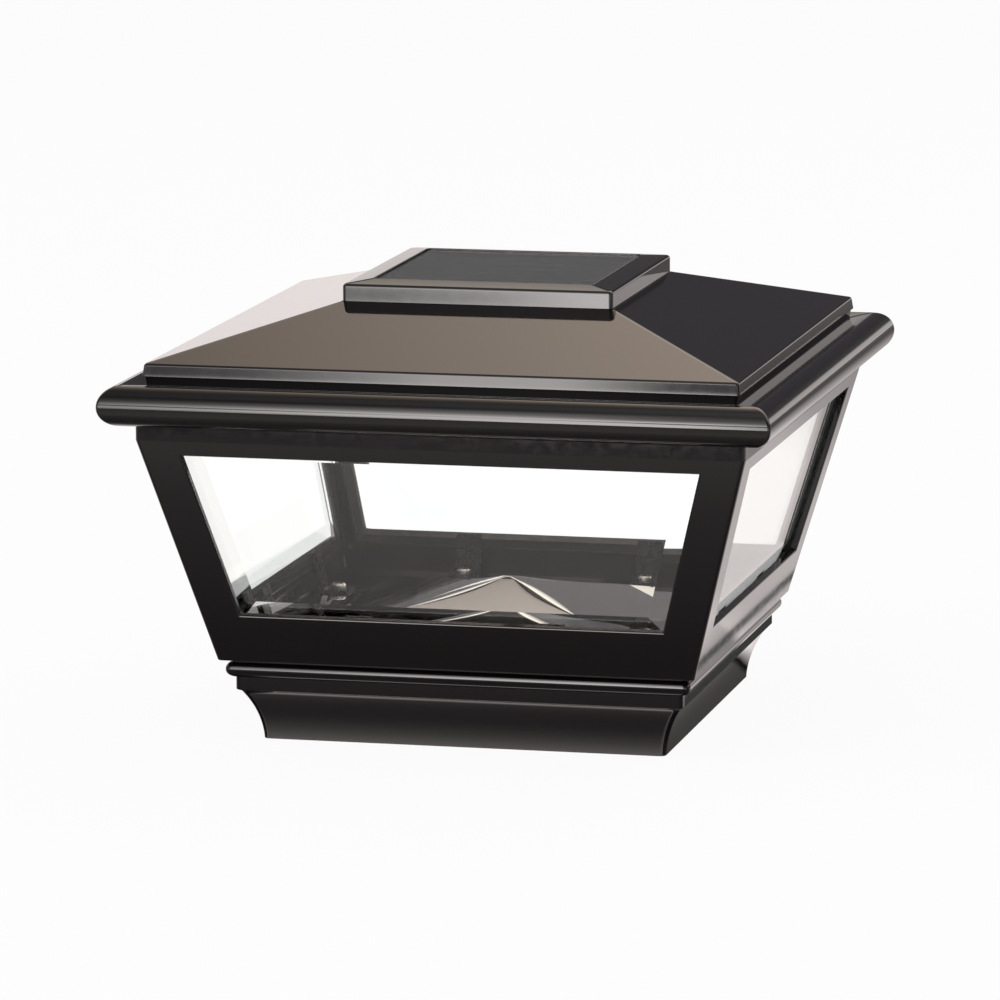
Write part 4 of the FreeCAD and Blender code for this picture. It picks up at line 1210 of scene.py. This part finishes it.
def lamp_package():
    """White plastic, with yellow phosphor over its lowest part."""
    material, tree, output = new_material("lamp_package")
    package = tree.nodes.new("ShaderNodeBsdfPrincipled")
    package.inputs["Roughness"].default_value = PACKAGE_ROUGHNESS
    top_of_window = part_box("led_lamps")[0].z + PHOSPHOR_RISE
    window = maths(tree, "LESS_THAN", coordinates(tree, "Object")["Z"], top_of_window)
    colour = colour_mix(tree, window, PACKAGE_WHITE, PHOSPHOR_YELLOW)
    tree.links.new(colour, package.inputs["Base Color"])
    tree.links.new(package.outputs[0], output.inputs["Surface"])
    return material


dress(nodes["light_lens"], clear_resin("lens_resin", LENS_ROUGHNESS))
dress(nodes["led_lamps"], lamp_package())


# ---------------------------------------------------------------------------
# Circuit board: a glass-fibre board under green lacquer, screwed to the ceiling
# plate's posts over the lens, with its chip, coil, capacitors and lead sockets.
# ---------------------------------------------------------------------------
BOARD_GREEN = (0.018, 0.13, 0.055)
COMPONENT_COLOUR = (0.025, 0.025, 0.027)
COMPONENT_SHINE = (0.35, 0.5)

component_black = surface_finish("component_black", COMPONENT_COLOUR, COMPONENT_SHINE, MOULD_GRAIN)
dress(nodes["circuit_board"], solder_mask("green_board", BOARD_GREEN))
dress(nodes["board_parts"], component_black)
dress(nodes["board_screws"], zinc)


# ---------------------------------------------------------------------------
# Battery: a round cell in a blue shrink sleeve, between nickel plated contacts,
# behind a hinged door in the ceiling plate.
# ---------------------------------------------------------------------------
SLEEVE_COLOUR = (0.02, 0.16, 0.42)
SLEEVE_SHINE = (0.22, 0.35)
SLEEVE_GRAIN = (300.0, 0.00001)
NICKEL_COLOUR = (0.80, 0.76, 0.66)
NICKEL_SHINE = (0.2, 0.35)

blue_sleeve = surface_finish("cell_sleeve", SLEEVE_COLOUR, SLEEVE_SHINE, SLEEVE_GRAIN)
nickel = surface_finish("nickel_plate", NICKEL_COLOUR, NICKEL_SHINE, PLATING_GRAIN, {"Metallic": 1.0})
dress(nodes["battery_cell"], blue_sleeve)
dress(nodes["battery_contacts"], nickel)
dress(nodes["battery_door"], ivory_plastic)


# ---------------------------------------------------------------------------
# Switch: a slide switch moulded in black plastic, soldered under the board. Its
# slider stands down through a slot in the ceiling plate, to be pushed by a finger.
# ---------------------------------------------------------------------------
dress(nodes["switch_body"], component_black)
dress(nodes["switch_slider"], component_black)


# ---------------------------------------------------------------------------
# Leads: thin stranded wires in a red plastic jacket, two from the solar panel and
# one from each battery contact, each run to its socket on the circuit board.
# ---------------------------------------------------------------------------
JACKET_COLOUR = (0.45, 0.02, 0.02)

lead_red = surface_finish("lead_jacket", JACKET_COLOUR, SATIN_SHINE, MOULD_GRAIN)
dress(nodes["solar_leads"], lead_red)
dress(nodes["battery_leads"], lead_red)
